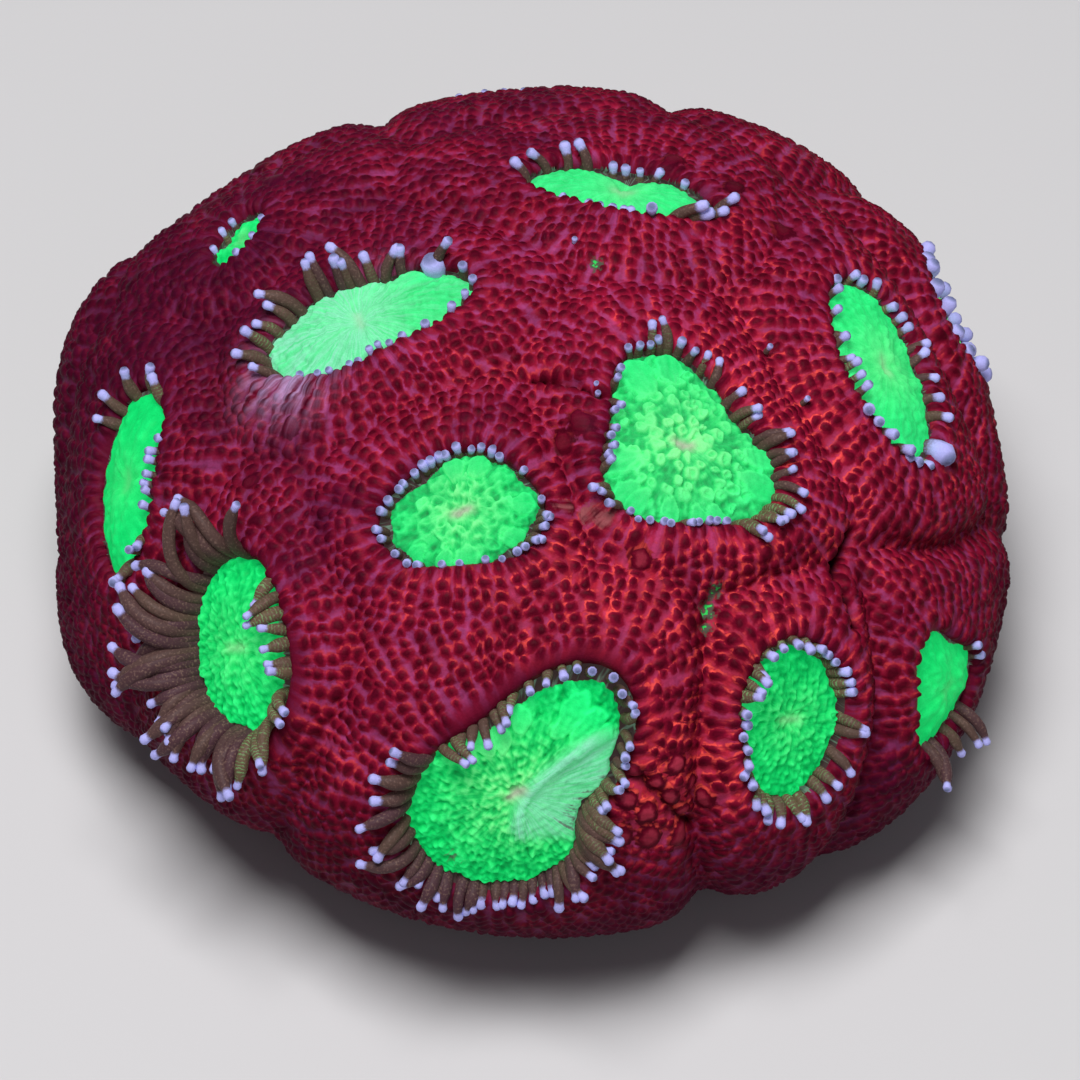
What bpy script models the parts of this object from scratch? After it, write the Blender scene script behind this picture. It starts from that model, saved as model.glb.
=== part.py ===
"""Acan coral head, cut flat at its base.

A domed stony colony under one thick skin of flesh, with its polyps let into the skin
as shallow cups.  It grew as one piece, so it is one solid.  Metres, +Z up, the cut
face at z = 0 with the origin at its middle, the front of the head towards -Y.
Azimuth is in degrees from the front towards +X, latitude in degrees up from the
widest level of the dome.
"""
import math

import bmesh
import bpy
import numpy as np

# The dome, before its swellings and its polyps
HALF_WIDTH = 0.0315          # along X, at the widest level
HALF_DEPTH = 0.0322          # along Y, at the widest level
RISE = 0.0232                # crown above the widest level
DROP = 0.0180                # where the dome would close below the widest level
CUT_DEPTH = 0.0130           # cut face below the widest level

# Broad swellings and hollows: azimuth, latitude, spread in degrees, height
SWELLINGS = [
    (-111.0, 16.0, 18.0, 0.0034),
    (-147.0, 33.0, 20.0, 0.0013),
    (125.0, 24.0, 26.0, 0.0024),
    (160.0, 38.0, 20.0, 0.0016),
    (57.0, -22.0, 26.0, 0.0026),
    (20.0, -36.0, 18.0, 0.0010),
    (-74.0, -15.0, 19.0, 0.0026),
    (-46.0, -26.0, 20.0, -0.0030),
    (-20.0, -36.0, 20.0, -0.0014),
    (86.0, 3.0, 14.0, 0.0012),
]

# Polyps: azimuth, latitude, half width across the slope, half length up the slope,
# turn in degrees, how three-cornered the cup is, the turn of its corners, and how much
# further than usual its own flesh reaches
POLYPS = {
    "middle": (-16.0, 52.0, 0.0059, 0.0043, 20.0, 0.06, 105.0, 0.0),
    "three_cornered": (44.5, 55.5, 0.0058, 0.0070, -10.0, 0.14, 60.0, 0.0),
    "front": (-1.6, 16.4, 0.0100, 0.0062, 52.0, 0.09, 52.0, 0.003),
    "front_right": (36.0, 17.0, 0.0045, 0.0062, -22.0, 0.03, 0.0, 0.0),
    "front_left": (-44.6, 22.5, 0.0049, 0.0067, 37.0, 0.03, 0.0, 0.0),
    "left": (-77.5, 23.0, 0.0070, 0.0036, -32.0, 0.03, 0.0, 0.001),
    "rear_left": (-88.5, 62.5, 0.0038, 0.0079, 14.0, 0.06, -15.0, 0.0),
    "rear_left_small": (-118.0, 38.0, 0.0032, 0.0018, 0.0, 0.03, 0.0, 0.0),
    "rear": (150.0, 60.3, 0.0070, 0.0026, 20.0, 0.03, 0.0, 0.0),
    "right": (91.0, 34.0, 0.0073, 0.0041, 30.0, 0.03, 0.0, 0.0),
    "low_right": (59.0, 5.5, 0.0042, 0.0043, 20.0, 0.14, 90.0, 0.0),
    "rim_right": (112.0, 14.0, 0.0050, 0.0046, 0.0, 0.03, 0.0, 0.0),
    "back_right": (146.0, 11.0, 0.0050, 0.0045, 0.0, 0.03, 0.0, 0.0),
    "back": (181.0, 17.0, 0.0056, 0.0048, 10.0, 0.05, 0.0, 0.0),
    "back_left": (-145.0, 9.0, 0.0050, 0.0046, 0.0, 0.03, 0.0, 0.0),
    "low_left": (-109.0, -1.0, 0.0044, 0.0040, 0.0, 0.05, 0.0, 0.0),
}

# Relief of the flesh
CUP_DEPTH = 0.0014           # floor of a cup below the dome
LIP_HEIGHT = 0.0009          # swollen lip round a cup above the dome
LIP_INNER = -0.0004          # foot of the cup's wall, from the cup's outline
LIP_OUTER = 0.0007           # top of the cup's wall, from the cup's outline
LIP_FADE = 0.0040            # run over which the lip dies away
CREASE_DEPTH = 0.0006        # usual dip where the flesh of two polyps meets
CREASE_WIDTH = 0.0011        # half width of a crease
DEEP_CREASES = {
    ("front", "front_right"): 0.0018,
    ("three_cornered", "front_right"): 0.0012,
    ("front_right", "low_right"): 0.0014,
    ("right", "low_right"): 0.0016,
    ("three_cornered", "right"): 0.0008,
    ("middle", "three_cornered"): 0.0011,
    ("front_left", "front"): 0.0010,
    ("middle", "front"): 0.0,
    ("right", "rim_right"): 0.0012,
    ("rim_right", "back_right"): 0.0014,
    ("back_right", "back"): 0.0014,
    ("back", "back_left"): 0.0014,
    ("back_left", "low_left"): 0.0014,
}

# Fineness of the faceted solid
FIELD_SPACING = 0.0017
RING_SPACING = 0.0014
LEAST_SPACING = 0.0006
RING_STEPS = (LIP_INNER, LIP_OUTER, -0.0018, 0.0020)
CUT_EDGE_POINTS = 96
INNER_RING_SHARE = 0.3       # least radius of a ring inside a cup, as a share of the cup's
FIELD_CLEARANCE = 0.6        # clear space round the rings and over the cut, in spacings
SMOOTH_ANGLE = 50.0          # degrees; sharper edges keep their crease

# How finely places on the dome are settled
OUTLINE_STEPS = 721
RING_PASSES = 12
HALVINGS = 30
LOWEST_CUT_LATITUDE = -80.0


def direction(azimuth, latitude):
    """Unit vector from the growth centre."""
    a = np.radians(azimuth)
    b = np.radians(latitude)
    return np.stack([np.sin(a) * np.cos(b), -np.cos(a) * np.cos(b), np.sin(b)], axis=-1)


def unit(vectors):
    return vectors / np.linalg.norm(vectors, axis=-1, keepdims=True)


def dome_point(rays):
    """Points of the bare dome, with its swellings, along unit rays."""
    height = np.where(rays[..., 2] > 0.0, RISE, DROP)
    squares = (rays[..., 0] / HALF_WIDTH) ** 2
    squares += (rays[..., 1] / HALF_DEPTH) ** 2
    squares += (rays[..., 2] / height) ** 2
    radius = 1.0 / np.sqrt(squares)
    for azimuth, latitude, spread, rise in SWELLINGS:
        cosine = np.clip(rays @ direction(azimuth, latitude), -1.0, 1.0)
        radius = radius + rise * np.exp(-(np.degrees(np.arccos(cosine)) / spread) ** 2)
    return rays * radius[..., None]


def dome_normal(points):
    """Outward unit normals of the dome without its swellings."""
    height = np.where(points[..., 2] > 0.0, RISE, DROP)
    gradient = np.stack([
        points[..., 0] / HALF_WIDTH ** 2,
        points[..., 1] / HALF_DEPTH ** 2,
        points[..., 2] / height ** 2,
    ], axis=-1)
    return unit(gradient)


class Polyp:
    """One polyp: a tangent frame on the dome and the outline of its cup."""

    def __init__(self, name, azimuth, latitude, half_width, half_length, turn, corner,
                 corner_turn, reach):
        self.name = name
        self.reach = reach
        self.half_width = half_width
        self.half_length = half_length
        self.turn = math.radians(turn)
        self.corner = corner
        self.corner_turn = math.radians(corner_turn)
        self.centre = dome_point(direction(azimuth, latitude))
        self.normal = dome_normal(self.centre)
        angle = math.radians(azimuth)
        east = np.array([math.cos(angle), math.sin(angle), 0.0])
        self.east = unit(east - self.normal * (east @ self.normal))
        self.up = np.cross(self.normal, self.east)

    def outline(self, theta):
        """Distance from the centre to the cup's outline."""
        angle = theta - self.turn
        across = np.cos(angle) / self.half_width
        along = np.sin(angle) / self.half_length
        corners = 1.0 + self.corner * np.cos(3.0 * (theta - self.corner_turn))
        return corners / np.sqrt(across ** 2 + along ** 2)

    def outside(self, points):
        """Distance of points of the dome outside the cup's outline."""
        offset = points - self.centre
        theta = np.arctan2(offset @ self.up, offset @ self.east)
        return np.linalg.norm(offset, axis=-1) - self.outline(theta)

    def even_headings(self, count):
        """Headings that divide the cup's outline into equal lengths."""
        fine = np.linspace(0.0, 2.0 * math.pi, OUTLINE_STEPS)
        distance = self.outline(fine)
        steps = np.hypot(np.diff(distance * np.cos(fine)), np.diff(distance * np.sin(fine)))
        length = np.concatenate([[0.0], np.cumsum(steps)])
        return np.interp(np.arange(count) * length[-1] / count, length, fine)

    def ring(self, outside):
        """Rays to a ring of points at a distance outside the cup's outline."""
        reach = (self.half_width + self.half_length) / 2.0
        count = 2 * round(math.pi * reach / RING_SPACING)
        theta = self.even_headings(count)
        if outside < LIP_INNER:
            theta = theta[::2]
        distance = np.maximum(self.outline(theta) + outside, reach * INNER_RING_SHARE)
        heading = np.stack([np.cos(theta), np.sin(theta)], axis=-1)
        plane = np.stack([self.east, self.up])
        step = heading * distance[:, None]
        for _ in range(RING_PASSES):
            rays = unit(self.centre + step @ plane)
            offset = dome_point(rays) - self.centre
            drop = np.minimum(np.abs(offset @ self.normal), distance)
            flat = np.sqrt(distance ** 2 - drop ** 2)
            step += heading * flat[:, None] - offset @ plane.T
        return rays


def crease_table(polyps):
    """Depth of the crease between each two polyps, none between one and itself."""
    depth = CREASE_DEPTH * (1.0 - np.eye(len(polyps)))
    index = {polyp.name: number for number, polyp in enumerate(polyps)}
    for (first, second), value in DEEP_CREASES.items():
        depth[index[first], index[second]] = value
        depth[index[second], index[first]] = value
    return depth


def relief(points, polyps, creases):
    """Height of the flesh over points of the dome: cups, lips and creases."""
    outside = np.stack([polyp.outside(points) for polyp in polyps], axis=-1)
    territory = outside - np.array([polyp.reach for polyp in polyps])
    share = np.exp((territory.min(axis=-1, keepdims=True) - territory) / CREASE_WIDTH)
    share /= share.sum(axis=-1, keepdims=True)
    crease = 2.0 * np.einsum("...i,ij,...j->...", share, creases, share)
    nearest = outside.min(axis=-1)
    lip = LIP_HEIGHT * np.exp(-np.maximum(nearest - LIP_OUTER, 0.0) / LIP_FADE)
    climb = np.clip((nearest - LIP_INNER) / (LIP_OUTER - LIP_INNER), 0.0, 1.0)
    climb = climb * climb * (3.0 - 2.0 * climb)
    return (lip - crease) * climb - CUP_DEPTH * (1.0 - climb)


def coral_point(rays, polyps, creases):
    """Points of the finished surface, the growth centre being the origin."""
    points = dome_point(rays)
    return points + dome_normal(points) * relief(points, polyps, creases)[..., None]


def cut_edge_rays(polyps, creases):
    """Rays to the edge of the cut face, found by halving the latitude."""
    azimuth = np.linspace(0.0, 360.0, CUT_EDGE_POINTS, endpoint=False)
    low = np.full(CUT_EDGE_POINTS, LOWEST_CUT_LATITUDE)
    high = np.full(CUT_EDGE_POINTS, 0.0)
    for _ in range(HALVINGS):
        middle = (low + high) / 2.0
        above = coral_point(direction(azimuth, middle), polyps, creases)[:, 2] > -CUT_DEPTH
        high = np.where(above, middle, high)
        low = np.where(above, low, middle)
    return direction(azimuth, high)


def field_rays(polyps, creases):
    """Evenly spread rays over the flesh between the cups, above the cut."""
    area = 4.0 * math.pi * HALF_WIDTH * HALF_DEPTH
    count = round(area / FIELD_SPACING ** 2)
    index = np.arange(count) + 0.5
    height = 1.0 - 2.0 * index / count
    spin = math.pi * (1.0 + math.sqrt(5.0)) * index
    radius = np.sqrt(1.0 - height ** 2)
    rays = np.stack([radius * np.cos(spin), radius * np.sin(spin), height], axis=-1)
    points = dome_point(rays)
    clear = np.ones(count, dtype=bool)
    for polyp in polyps:
        clear &= polyp.outside(points) > max(RING_STEPS) + FIELD_CLEARANCE * FIELD_SPACING
    clear &= coral_point(rays, polyps, creases)[:, 2] > -CUT_DEPTH + FIELD_CLEARANCE * FIELD_SPACING
    return rays[clear]


def well_spaced(rays, gap):
    """The rays whose points of the dome keep a gap to all those before them."""
    points = dome_point(rays)
    kept = []
    for number, point in enumerate(points):
        if not kept or np.linalg.norm(points[kept] - point, axis=1).min() > gap:
            kept.append(number)
    return rays[kept]


def coral_mesh():
    """The whole head as one closed mesh, its cut face at z = 0."""
    polyps = [Polyp(name, *values) for name, values in POLYPS.items()]
    creases = crease_table(polyps)
    edge = cut_edge_rays(polyps, creases)
    groups = [edge]
    groups.extend(unit(polyp.centre)[None] for polyp in polyps)
    for outside in RING_STEPS:
        groups.extend(polyp.ring(outside) for polyp in polyps)
    groups.append(field_rays(polyps, creases))
    rays = well_spaced(np.concatenate(groups), LEAST_SPACING)

    mesh = bmesh.new()
    for ray in rays:
        mesh.verts.new(ray)
    bmesh.ops.convex_hull(mesh, input=mesh.verts)
    mesh.verts.ensure_lookup_table()
    mesh.verts.index_update()
    hull_rays = unit(np.array([vertex.co[:] for vertex in mesh.verts]))
    points = coral_point(hull_rays, polyps, creases)
    points[:, 2] = np.maximum(points[:, 2] + CUT_DEPTH, 0.0)
    flat = np.array([vertex.index < len(edge) for vertex in mesh.verts])
    points[flat, 2] = 0.0
    points[:, :2] -= (points[:, :2].min(axis=0) + points[:, :2].max(axis=0)) / 2.0
    for vertex, point in zip(mesh.verts, points):
        vertex.co = point

    floor = [face for face in mesh.faces if all(vertex.co.z == 0.0 for vertex in face.verts)]
    bmesh.ops.dissolve_faces(mesh, faces=floor)
    bmesh.ops.recalc_face_normals(mesh, faces=mesh.faces)
    return mesh


def coral_material():
    material = bpy.data.materials.new("red_flesh")
    material.use_nodes = True
    shader = material.node_tree.nodes["Principled BSDF"]
    shader.inputs["Base Color"].default_value = (0.30, 0.015, 0.03, 1.0)
    shader.inputs["Roughness"].default_value = 0.45
    shader.inputs["Metallic"].default_value = 0.0
    return material


for old in list(bpy.data.objects):
    bpy.data.objects.remove(old, do_unlink=True)

coral = coral_mesh()
data = bpy.data.meshes.new("coral_head")
coral.to_mesh(data)
coral.free()
data.materials.append(coral_material())
data.shade_smooth()
data.set_sharp_from_angle(angle=math.radians(SMOOTH_ANGLE))
head = bpy.data.objects.new("coral_head", data)
bpy.context.scene.collection.objects.link(head)
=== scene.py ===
import math

import bpy
import numpy as np
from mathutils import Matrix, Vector
from mathutils.geometry import delaunay_2d_cdt
from mathutils.kdtree import KDTree


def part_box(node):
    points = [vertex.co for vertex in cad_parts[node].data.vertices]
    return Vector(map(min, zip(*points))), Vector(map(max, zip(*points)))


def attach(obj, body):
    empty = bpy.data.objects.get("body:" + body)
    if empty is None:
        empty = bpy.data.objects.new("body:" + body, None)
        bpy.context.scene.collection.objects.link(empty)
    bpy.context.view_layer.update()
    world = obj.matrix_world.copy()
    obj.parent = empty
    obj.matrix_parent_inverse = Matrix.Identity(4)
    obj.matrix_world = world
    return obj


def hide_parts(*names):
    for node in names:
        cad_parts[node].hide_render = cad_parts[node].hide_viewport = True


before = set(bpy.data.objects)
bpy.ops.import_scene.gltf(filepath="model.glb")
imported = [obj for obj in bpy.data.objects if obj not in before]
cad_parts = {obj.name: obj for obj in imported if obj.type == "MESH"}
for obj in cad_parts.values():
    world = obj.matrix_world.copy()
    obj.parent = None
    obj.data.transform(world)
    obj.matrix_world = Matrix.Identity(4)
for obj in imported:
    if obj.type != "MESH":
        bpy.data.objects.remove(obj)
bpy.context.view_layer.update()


# ---------------------------------------------------------------- the boulder's form
# The head is a stony skeleton that grew outwards from one centre into a low dome, swollen
# here and hollow there, and was cut flat below its widest level.  The flesh covers all of
# it but the cut face, so the form is worked out first, along rays from the growth centre.
HALF_WIDTH = 0.0315          # along X, at the widest level
HALF_DEPTH = 0.0322          # along Y, at the widest level
RISE = 0.0232                # crown above the widest level
DROP = 0.0180                # where the dome would close below the widest level
CUT_DEPTH = 0.0130           # cut face below the widest level

# Broad swellings and hollows: azimuth from the front towards +X and latitude in degrees,
# spread in degrees, height
SWELLINGS = [
    (-111.0, 16.0, 18.0, 0.0034),
    (-147.0, 33.0, 20.0, 0.0013),
    (125.0, 24.0, 26.0, 0.0024),
    (160.0, 38.0, 20.0, 0.0016),
    (57.0, -22.0, 26.0, 0.0026),
    (20.0, -36.0, 18.0, 0.0010),
    (-74.0, -15.0, 19.0, 0.0026),
    (-46.0, -26.0, 20.0, -0.0030),
    (-20.0, -36.0, 20.0, -0.0014),
    (86.0, 3.0, 14.0, 0.0012),
]


def direction(azimuth, latitude):
    """Unit vector from the growth centre."""
    a = np.radians(azimuth)
    b = np.radians(latitude)
    return np.stack([np.sin(a) * np.cos(b), -np.cos(a) * np.cos(b), np.sin(b)], axis=-1)


def unit(vectors):
    return vectors / np.maximum(np.linalg.norm(vectors, axis=-1, keepdims=True), 1e-12)


def patch(rays, azimuth, latitude, spread):
    """A soft round patch on the head: 1 at its middle, fading over the spread in degrees."""
    cosine = np.clip(rays @ direction(azimuth, latitude), -1.0, 1.0)
    return np.exp(-(np.degrees(np.arccos(cosine)) / spread) ** 2)


def dome_point(rays):
    """Points of the bare dome, with its swellings, along unit rays."""
    height = np.where(rays[..., 2] > 0.0, RISE, DROP)
    squares = (rays[..., 0] / HALF_WIDTH) ** 2
    squares += (rays[..., 1] / HALF_DEPTH) ** 2
    squares += (rays[..., 2] / height) ** 2
    radius = 1.0 / np.sqrt(squares)
    for azimuth, latitude, spread, rise in SWELLINGS:
        radius = radius + rise * patch(rays, azimuth, latitude, spread)
    return rays * radius[..., None]


def dome_normal(points):
    """Outward unit normals of the dome without its swellings."""
    height = np.where(points[..., 2] > 0.0, RISE, DROP)
    gradient = np.stack([
        points[..., 0] / HALF_WIDTH ** 2,
        points[..., 1] / HALF_DEPTH ** 2,
        points[..., 2] / height ** 2,
    ], axis=-1)
    return unit(gradient)


# ---------------------------------------------------------------- the polyps' places
# Sixteen polyps share the head.  Each sits in its own shallow cup, and its flesh reaches
# out from the cup until it meets its neighbours' flesh in a crease.
# azimuth, latitude, half width across the slope, half length up the slope, turn in
# degrees, how three-cornered the cup is, the turn of its corners, its flesh's extra reach
POLYPS = {
    "middle": (-16.0, 52.0, 0.0059, 0.0043, 20.0, 0.06, 105.0, 0.0),
    "three_cornered": (44.5, 55.5, 0.0058, 0.0070, -10.0, 0.14, 60.0, 0.0),
    "front": (-1.6, 16.4, 0.0100, 0.0062, 52.0, 0.09, 52.0, 0.003),
    "front_right": (36.0, 17.0, 0.0045, 0.0062, -22.0, 0.03, 0.0, 0.0),
    "front_left": (-44.6, 22.5, 0.0049, 0.0067, 37.0, 0.03, 0.0, 0.0),
    "left": (-77.5, 23.0, 0.0070, 0.0036, -32.0, 0.03, 0.0, 0.001),
    "rear_left": (-88.5, 62.5, 0.0038, 0.0079, 14.0, 0.06, -15.0, 0.0),
    "rear_left_small": (-118.0, 38.0, 0.0032, 0.0018, 0.0, 0.03, 0.0, 0.0),
    "rear": (150.0, 60.3, 0.0070, 0.0026, 20.0, 0.03, 0.0, 0.0),
    "right": (91.0, 34.0, 0.0073, 0.0041, 30.0, 0.03, 0.0, 0.0),
    "low_right": (59.0, 5.5, 0.0042, 0.0043, 20.0, 0.14, 90.0, 0.0),
    "rim_right": (112.0, 14.0, 0.0050, 0.0046, 0.0, 0.03, 0.0, 0.0),
    "back_right": (146.0, 11.0, 0.0050, 0.0045, 0.0, 0.03, 0.0, 0.0),
    "back": (181.0, 17.0, 0.0056, 0.0048, 10.0, 0.05, 0.0, 0.0),
    "back_left": (-145.0, 9.0, 0.0050, 0.0046, 0.0, 0.03, 0.0, 0.0),
    "low_left": (-109.0, -1.0, 0.0044, 0.0040, 0.0, 0.05, 0.0, 0.0),
}


PLACING_STEPS = 14           # tries at stepping to a point of the curved dome
OUTLINE_STEPS = 721          # points at which an outline's length is measured


class Polyp:
    """One polyp: a tangent frame on the dome and the outline of its cup."""

    def __init__(self, name, azimuth, latitude, half_width, half_length, turn, corner,
                 corner_turn, reach):
        self.name = name
        self.reach = reach
        self.half_width = half_width
        self.half_length = half_length
        self.turn = math.radians(turn)
        self.corner = corner
        self.corner_turn = math.radians(corner_turn)
        self.centre = dome_point(direction(azimuth, latitude))
        self.normal = dome_normal(self.centre)
        angle = math.radians(azimuth)
        east = np.array([math.cos(angle), math.sin(angle), 0.0])
        self.east = unit(east - self.normal * (east @ self.normal))
        self.up = np.cross(self.normal, self.east)

    def outline(self, theta):
        """Distance from the mouth to the cup's outline."""
        angle = theta - self.turn
        across = np.cos(angle) / self.half_width
        along = np.sin(angle) / self.half_length
        corners = 1.0 + self.corner * np.cos(3.0 * (theta - self.corner_turn))
        return corners / np.sqrt(across ** 2 + along ** 2)

    def heading(self, points):
        offset = points - self.centre
        return np.arctan2(offset @ self.up, offset @ self.east)

    def outside(self, points):
        """Distance of points of the dome outside the cup's outline."""
        return np.linalg.norm(points - self.centre, axis=-1) - self.outline(self.heading(points))

    def place(self, theta, distance):
        """Rays to the points of the dome at headings and distances from the mouth."""
        heading = np.stack([np.cos(theta), np.sin(theta)], axis=-1)
        plane = np.stack([self.east, self.up])
        step = heading * distance[..., None]
        for _ in range(PLACING_STEPS):
            rays = unit(self.centre + step @ plane)
            offset = dome_point(rays) - self.centre
            drop = np.minimum(np.abs(offset @ self.normal), distance)
            flat = np.sqrt(distance ** 2 - drop ** 2)
            step += heading * flat[..., None] - offset @ plane.T
        return unit(self.centre + step @ plane)

    def even_headings(self, pitch, outside):
        """Headings at even steps of about a pitch round a ring outside the outline."""
        fine = np.linspace(0.0, 2.0 * math.pi, OUTLINE_STEPS)
        distance = self.outline(fine) + outside
        x = distance * np.cos(fine)
        y = distance * np.sin(fine)
        length = np.concatenate([[0.0], np.cumsum(np.hypot(np.diff(x), np.diff(y)))])
        count = max(round(length[-1] / pitch), 5)
        return np.interp(np.arange(count) * length[-1] / count, length, fine)


polyps = [Polyp(name, *values) for name, values in POLYPS.items()]
polyp_number = {polyp.name: number for number, polyp in enumerate(polyps)}
reaches = np.array([polyp.reach for polyp in polyps])

CREASE_DEPTH = 0.0006        # usual dip where the flesh of two polyps meets
CREASE_WIDTH = 0.0011        # half width of a crease
DEEP_CREASES = {
    ("front", "front_right"): 0.0018,
    ("three_cornered", "front_right"): 0.0012,
    ("front_right", "low_right"): 0.0014,
    ("right", "low_right"): 0.0016,
    ("three_cornered", "right"): 0.0008,
    ("middle", "three_cornered"): 0.0011,
    ("front_left", "front"): 0.0010,
    ("middle", "front"): 0.0,
    ("right", "rim_right"): 0.0012,
    ("rim_right", "back_right"): 0.0009,
    ("back_right", "back"): 0.0009,
    ("back", "back_left"): 0.0009,
    ("back_left", "low_left"): 0.0009,
}
crease_depth = CREASE_DEPTH * (1.0 - np.eye(len(polyps)))
for (first, second), depth in DEEP_CREASES.items():
    crease_depth[polyp_number[first], polyp_number[second]] = depth
    crease_depth[polyp_number[second], polyp_number[first]] = depth


def outside_all(points):
    """Distance of points outside every polyp's outline, one column a polyp."""
    return np.stack([polyp.outside(points) for polyp in polyps], axis=-1)


def owners(outside):
    """The polyp whose flesh covers each point, by its number."""
    return (outside - reaches).argmin(axis=-1)


def crease_at(outside):
    """Depth of the crease between the polyps that share each point."""
    territory = outside - reaches
    share = np.exp((territory.min(axis=-1, keepdims=True) - territory) / CREASE_WIDTH)
    share /= share.sum(axis=-1, keepdims=True)
    return 2.0 * np.einsum("...i,ij,...j->...", share, crease_depth, share)


# ---------------------------------------------------------------- the flesh's layout
# Flesh blisters stand in rows that run out from each cup over the ridges of the skeleton
# beneath, a new row starting wherever two rows have spread too far apart.  The blister
# centres and the bumps of the green discs are the corners of one net over the whole head.
ROW_PITCH = 0.00092          # between neighbouring rows
BLISTER_PITCH = 0.00078      # along a row
FIRST_BLISTER = 0.00040      # from the lip's edge to the first blister
FURTHEST_BLISTER = 0.0260    # where the longest rows end, from the lip's edge
BLISTER_WIDTH = 0.90         # share of the row pitch that a blister fills
BLISTER_LENGTH = 1.08        # share of its place in the row that a blister fills
ROW_WANDER = 0.00010         # how far a row strays sideways at each blister
LEAST_GAP = 0.00050          # between any two blisters
CLEAR_GAP = 0.00067          # from the middle of an open gap to the blisters round it
PLAIN_GAP = 0.00026          # between a blister and a plain corner of the net
CUT_CLEARANCE = 0.0007       # from the cut face up to the lowest blisters
BUMP_GAP = 0.0001            # clear space round the bumps of a disc
BUMP_SHARE = 0.6             # share of its half width that such a bump keeps clear

# Where a few blisters have swollen far larger: azimuth, latitude, spread in degrees, how
# many, radius
BIG_BLISTERS = [
    (16.5, 13.5, 6.5, 12, 0.00078),
    (22.0, 43.0, 2.2, 2, 0.00095),
    (14.0, 65.0, 3.5, 3, 0.00088),
    (-60.0, 45.0, 6.0, 3, 0.00070),
    (135.0, 45.0, 12.0, 4, 0.00080),
    (-130.0, 25.0, 12.0, 4, 0.00080),
]
LARGE_RADIUS = 0.00066       # blisters from this radius up keep more clear space
LARGE_CLEARANCE = 0.80       # share of two blisters' radii that they keep apart

WALL = 0.00030               # from the lip's edge in to the groove round the disc
DISC_EDGE = 0.00045          # from that groove in to the edge of the disc

# Where the lip stays smooth before the first blisters: polyp, heading, spread, width
SMOOTH_LIPS = [
    ("front", 98.0, 48.0, 0.0010),
    ("front_left", 0.0, 55.0, 0.0008),
    ("front_left", -60.0, 40.0, 0.0006),
]
# Where brown tissue shows between the groove and the disc: polyp, heading, spread, width
WIDE_GROOVES = [
    ("middle", 180.0, 65.0, 0.0006),
    ("middle", -8.0, 30.0, 0.0007),
    ("front", -10.0, 26.0, 0.0009),
    ("front", 85.0, 38.0, 0.0012),
    ("front", 35.0, 25.0, 0.0010),
    ("front_left", 20.0, 55.0, 0.0009),
    ("front_left", -150.0, 60.0, 0.0005),
    ("front_right", 60.0, 70.0, 0.0004),
    ("rear", -80.0, 40.0, 0.0007),
]
RAGGED_EDGE = 0.00024        # how far the lobes of a disc's edge reach in or out
LOBES = range(4, 15)         # how many go round it, from the broadest to the finest

PLAIN, BLISTER, BUTTON, CRATER, WRINKLE, PIT = range(6)


def arc_share(theta, heading, spread):
    """How far headings lie within an arc: 1 at its middle, fading over its spread."""
    away = np.degrees(np.abs(np.angle(np.exp(1j * (theta - math.radians(heading))))))
    return np.exp(-(away / spread) ** 4)


def extra_width(polyp, theta, table):
    width = np.zeros_like(theta)
    for name, heading, spread, extra in table:
        if name == polyp.name:
            width = np.maximum(width, extra * arc_share(theta, heading, spread))
    return width


def lobes(theta, number):
    """The uneven edge of one polyp's disc, about -1 to 1."""
    own_dice = np.random.default_rng(200 + number)
    edge = np.zeros_like(theta)
    for waves in LOBES:
        edge += own_dice.uniform(0.4, 1.0) * np.sin(waves * theta + own_dice.uniform(0.0, 6.28))
    return edge / 3.0


class Net:
    """Corners of the net over the head: where each lies and what bump it carries."""

    def __init__(self):
        self.parts = []

    def add(self, rays, kind, along, half_along, half_across):
        count = len(rays)
        self.parts.append((
            rays,
            np.full(count, kind),
            along,
            np.broadcast_to(half_along, count),
            np.broadcast_to(half_across, count),
        ))

    def add_plain(self, rays):
        self.add(rays, PLAIN, np.zeros_like(rays), 1.0, 1.0)

    def gathered(self):
        """All the corners in order, less any that crowd an earlier one."""
        filled = [part for part in self.parts if len(part[0])]
        columns = [np.concatenate(column) for column in zip(*filled)]
        points = dome_point(columns[0])
        is_blister = columns[1] == BLISTER
        radius = np.where(is_blister, np.sqrt(columns[3] * columns[4]), 0.0)
        gap = np.where(is_blister, LEAST_GAP, 0.0)
        gap = np.where(columns[1] >= BUTTON, BUMP_SHARE * columns[4] + BUMP_GAP, gap)
        kept = np.zeros(len(points), dtype=np.int64)
        count = 0
        for number, point in enumerate(points):
            earlier = kept[:count]
            near = ((points[earlier] - point) ** 2).sum(axis=1)
            wanted = np.full(count, gap[number])
            if is_blister[number]:
                wanted = np.where(columns[1][earlier] == PLAIN, PLAIN_GAP, wanted)
                apart = LARGE_CLEARANCE * (radius[earlier] + radius[number])
                large = np.maximum(radius[earlier], radius[number]) > LARGE_RADIUS
                wanted = np.where(large & (radius[earlier] > 0.0), apart, wanted)
            if gap[number] == 0.0 or (near > wanted ** 2).all():
                kept[count] = number
                count += 1
        return [column[kept[:count]] for column in columns]


TURN_TO_NEXT = 137.5         # degrees from one swollen blister of a group to the next
BIG_SHAPE = (1.12, 0.94)     # half length and half width, in radii


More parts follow.
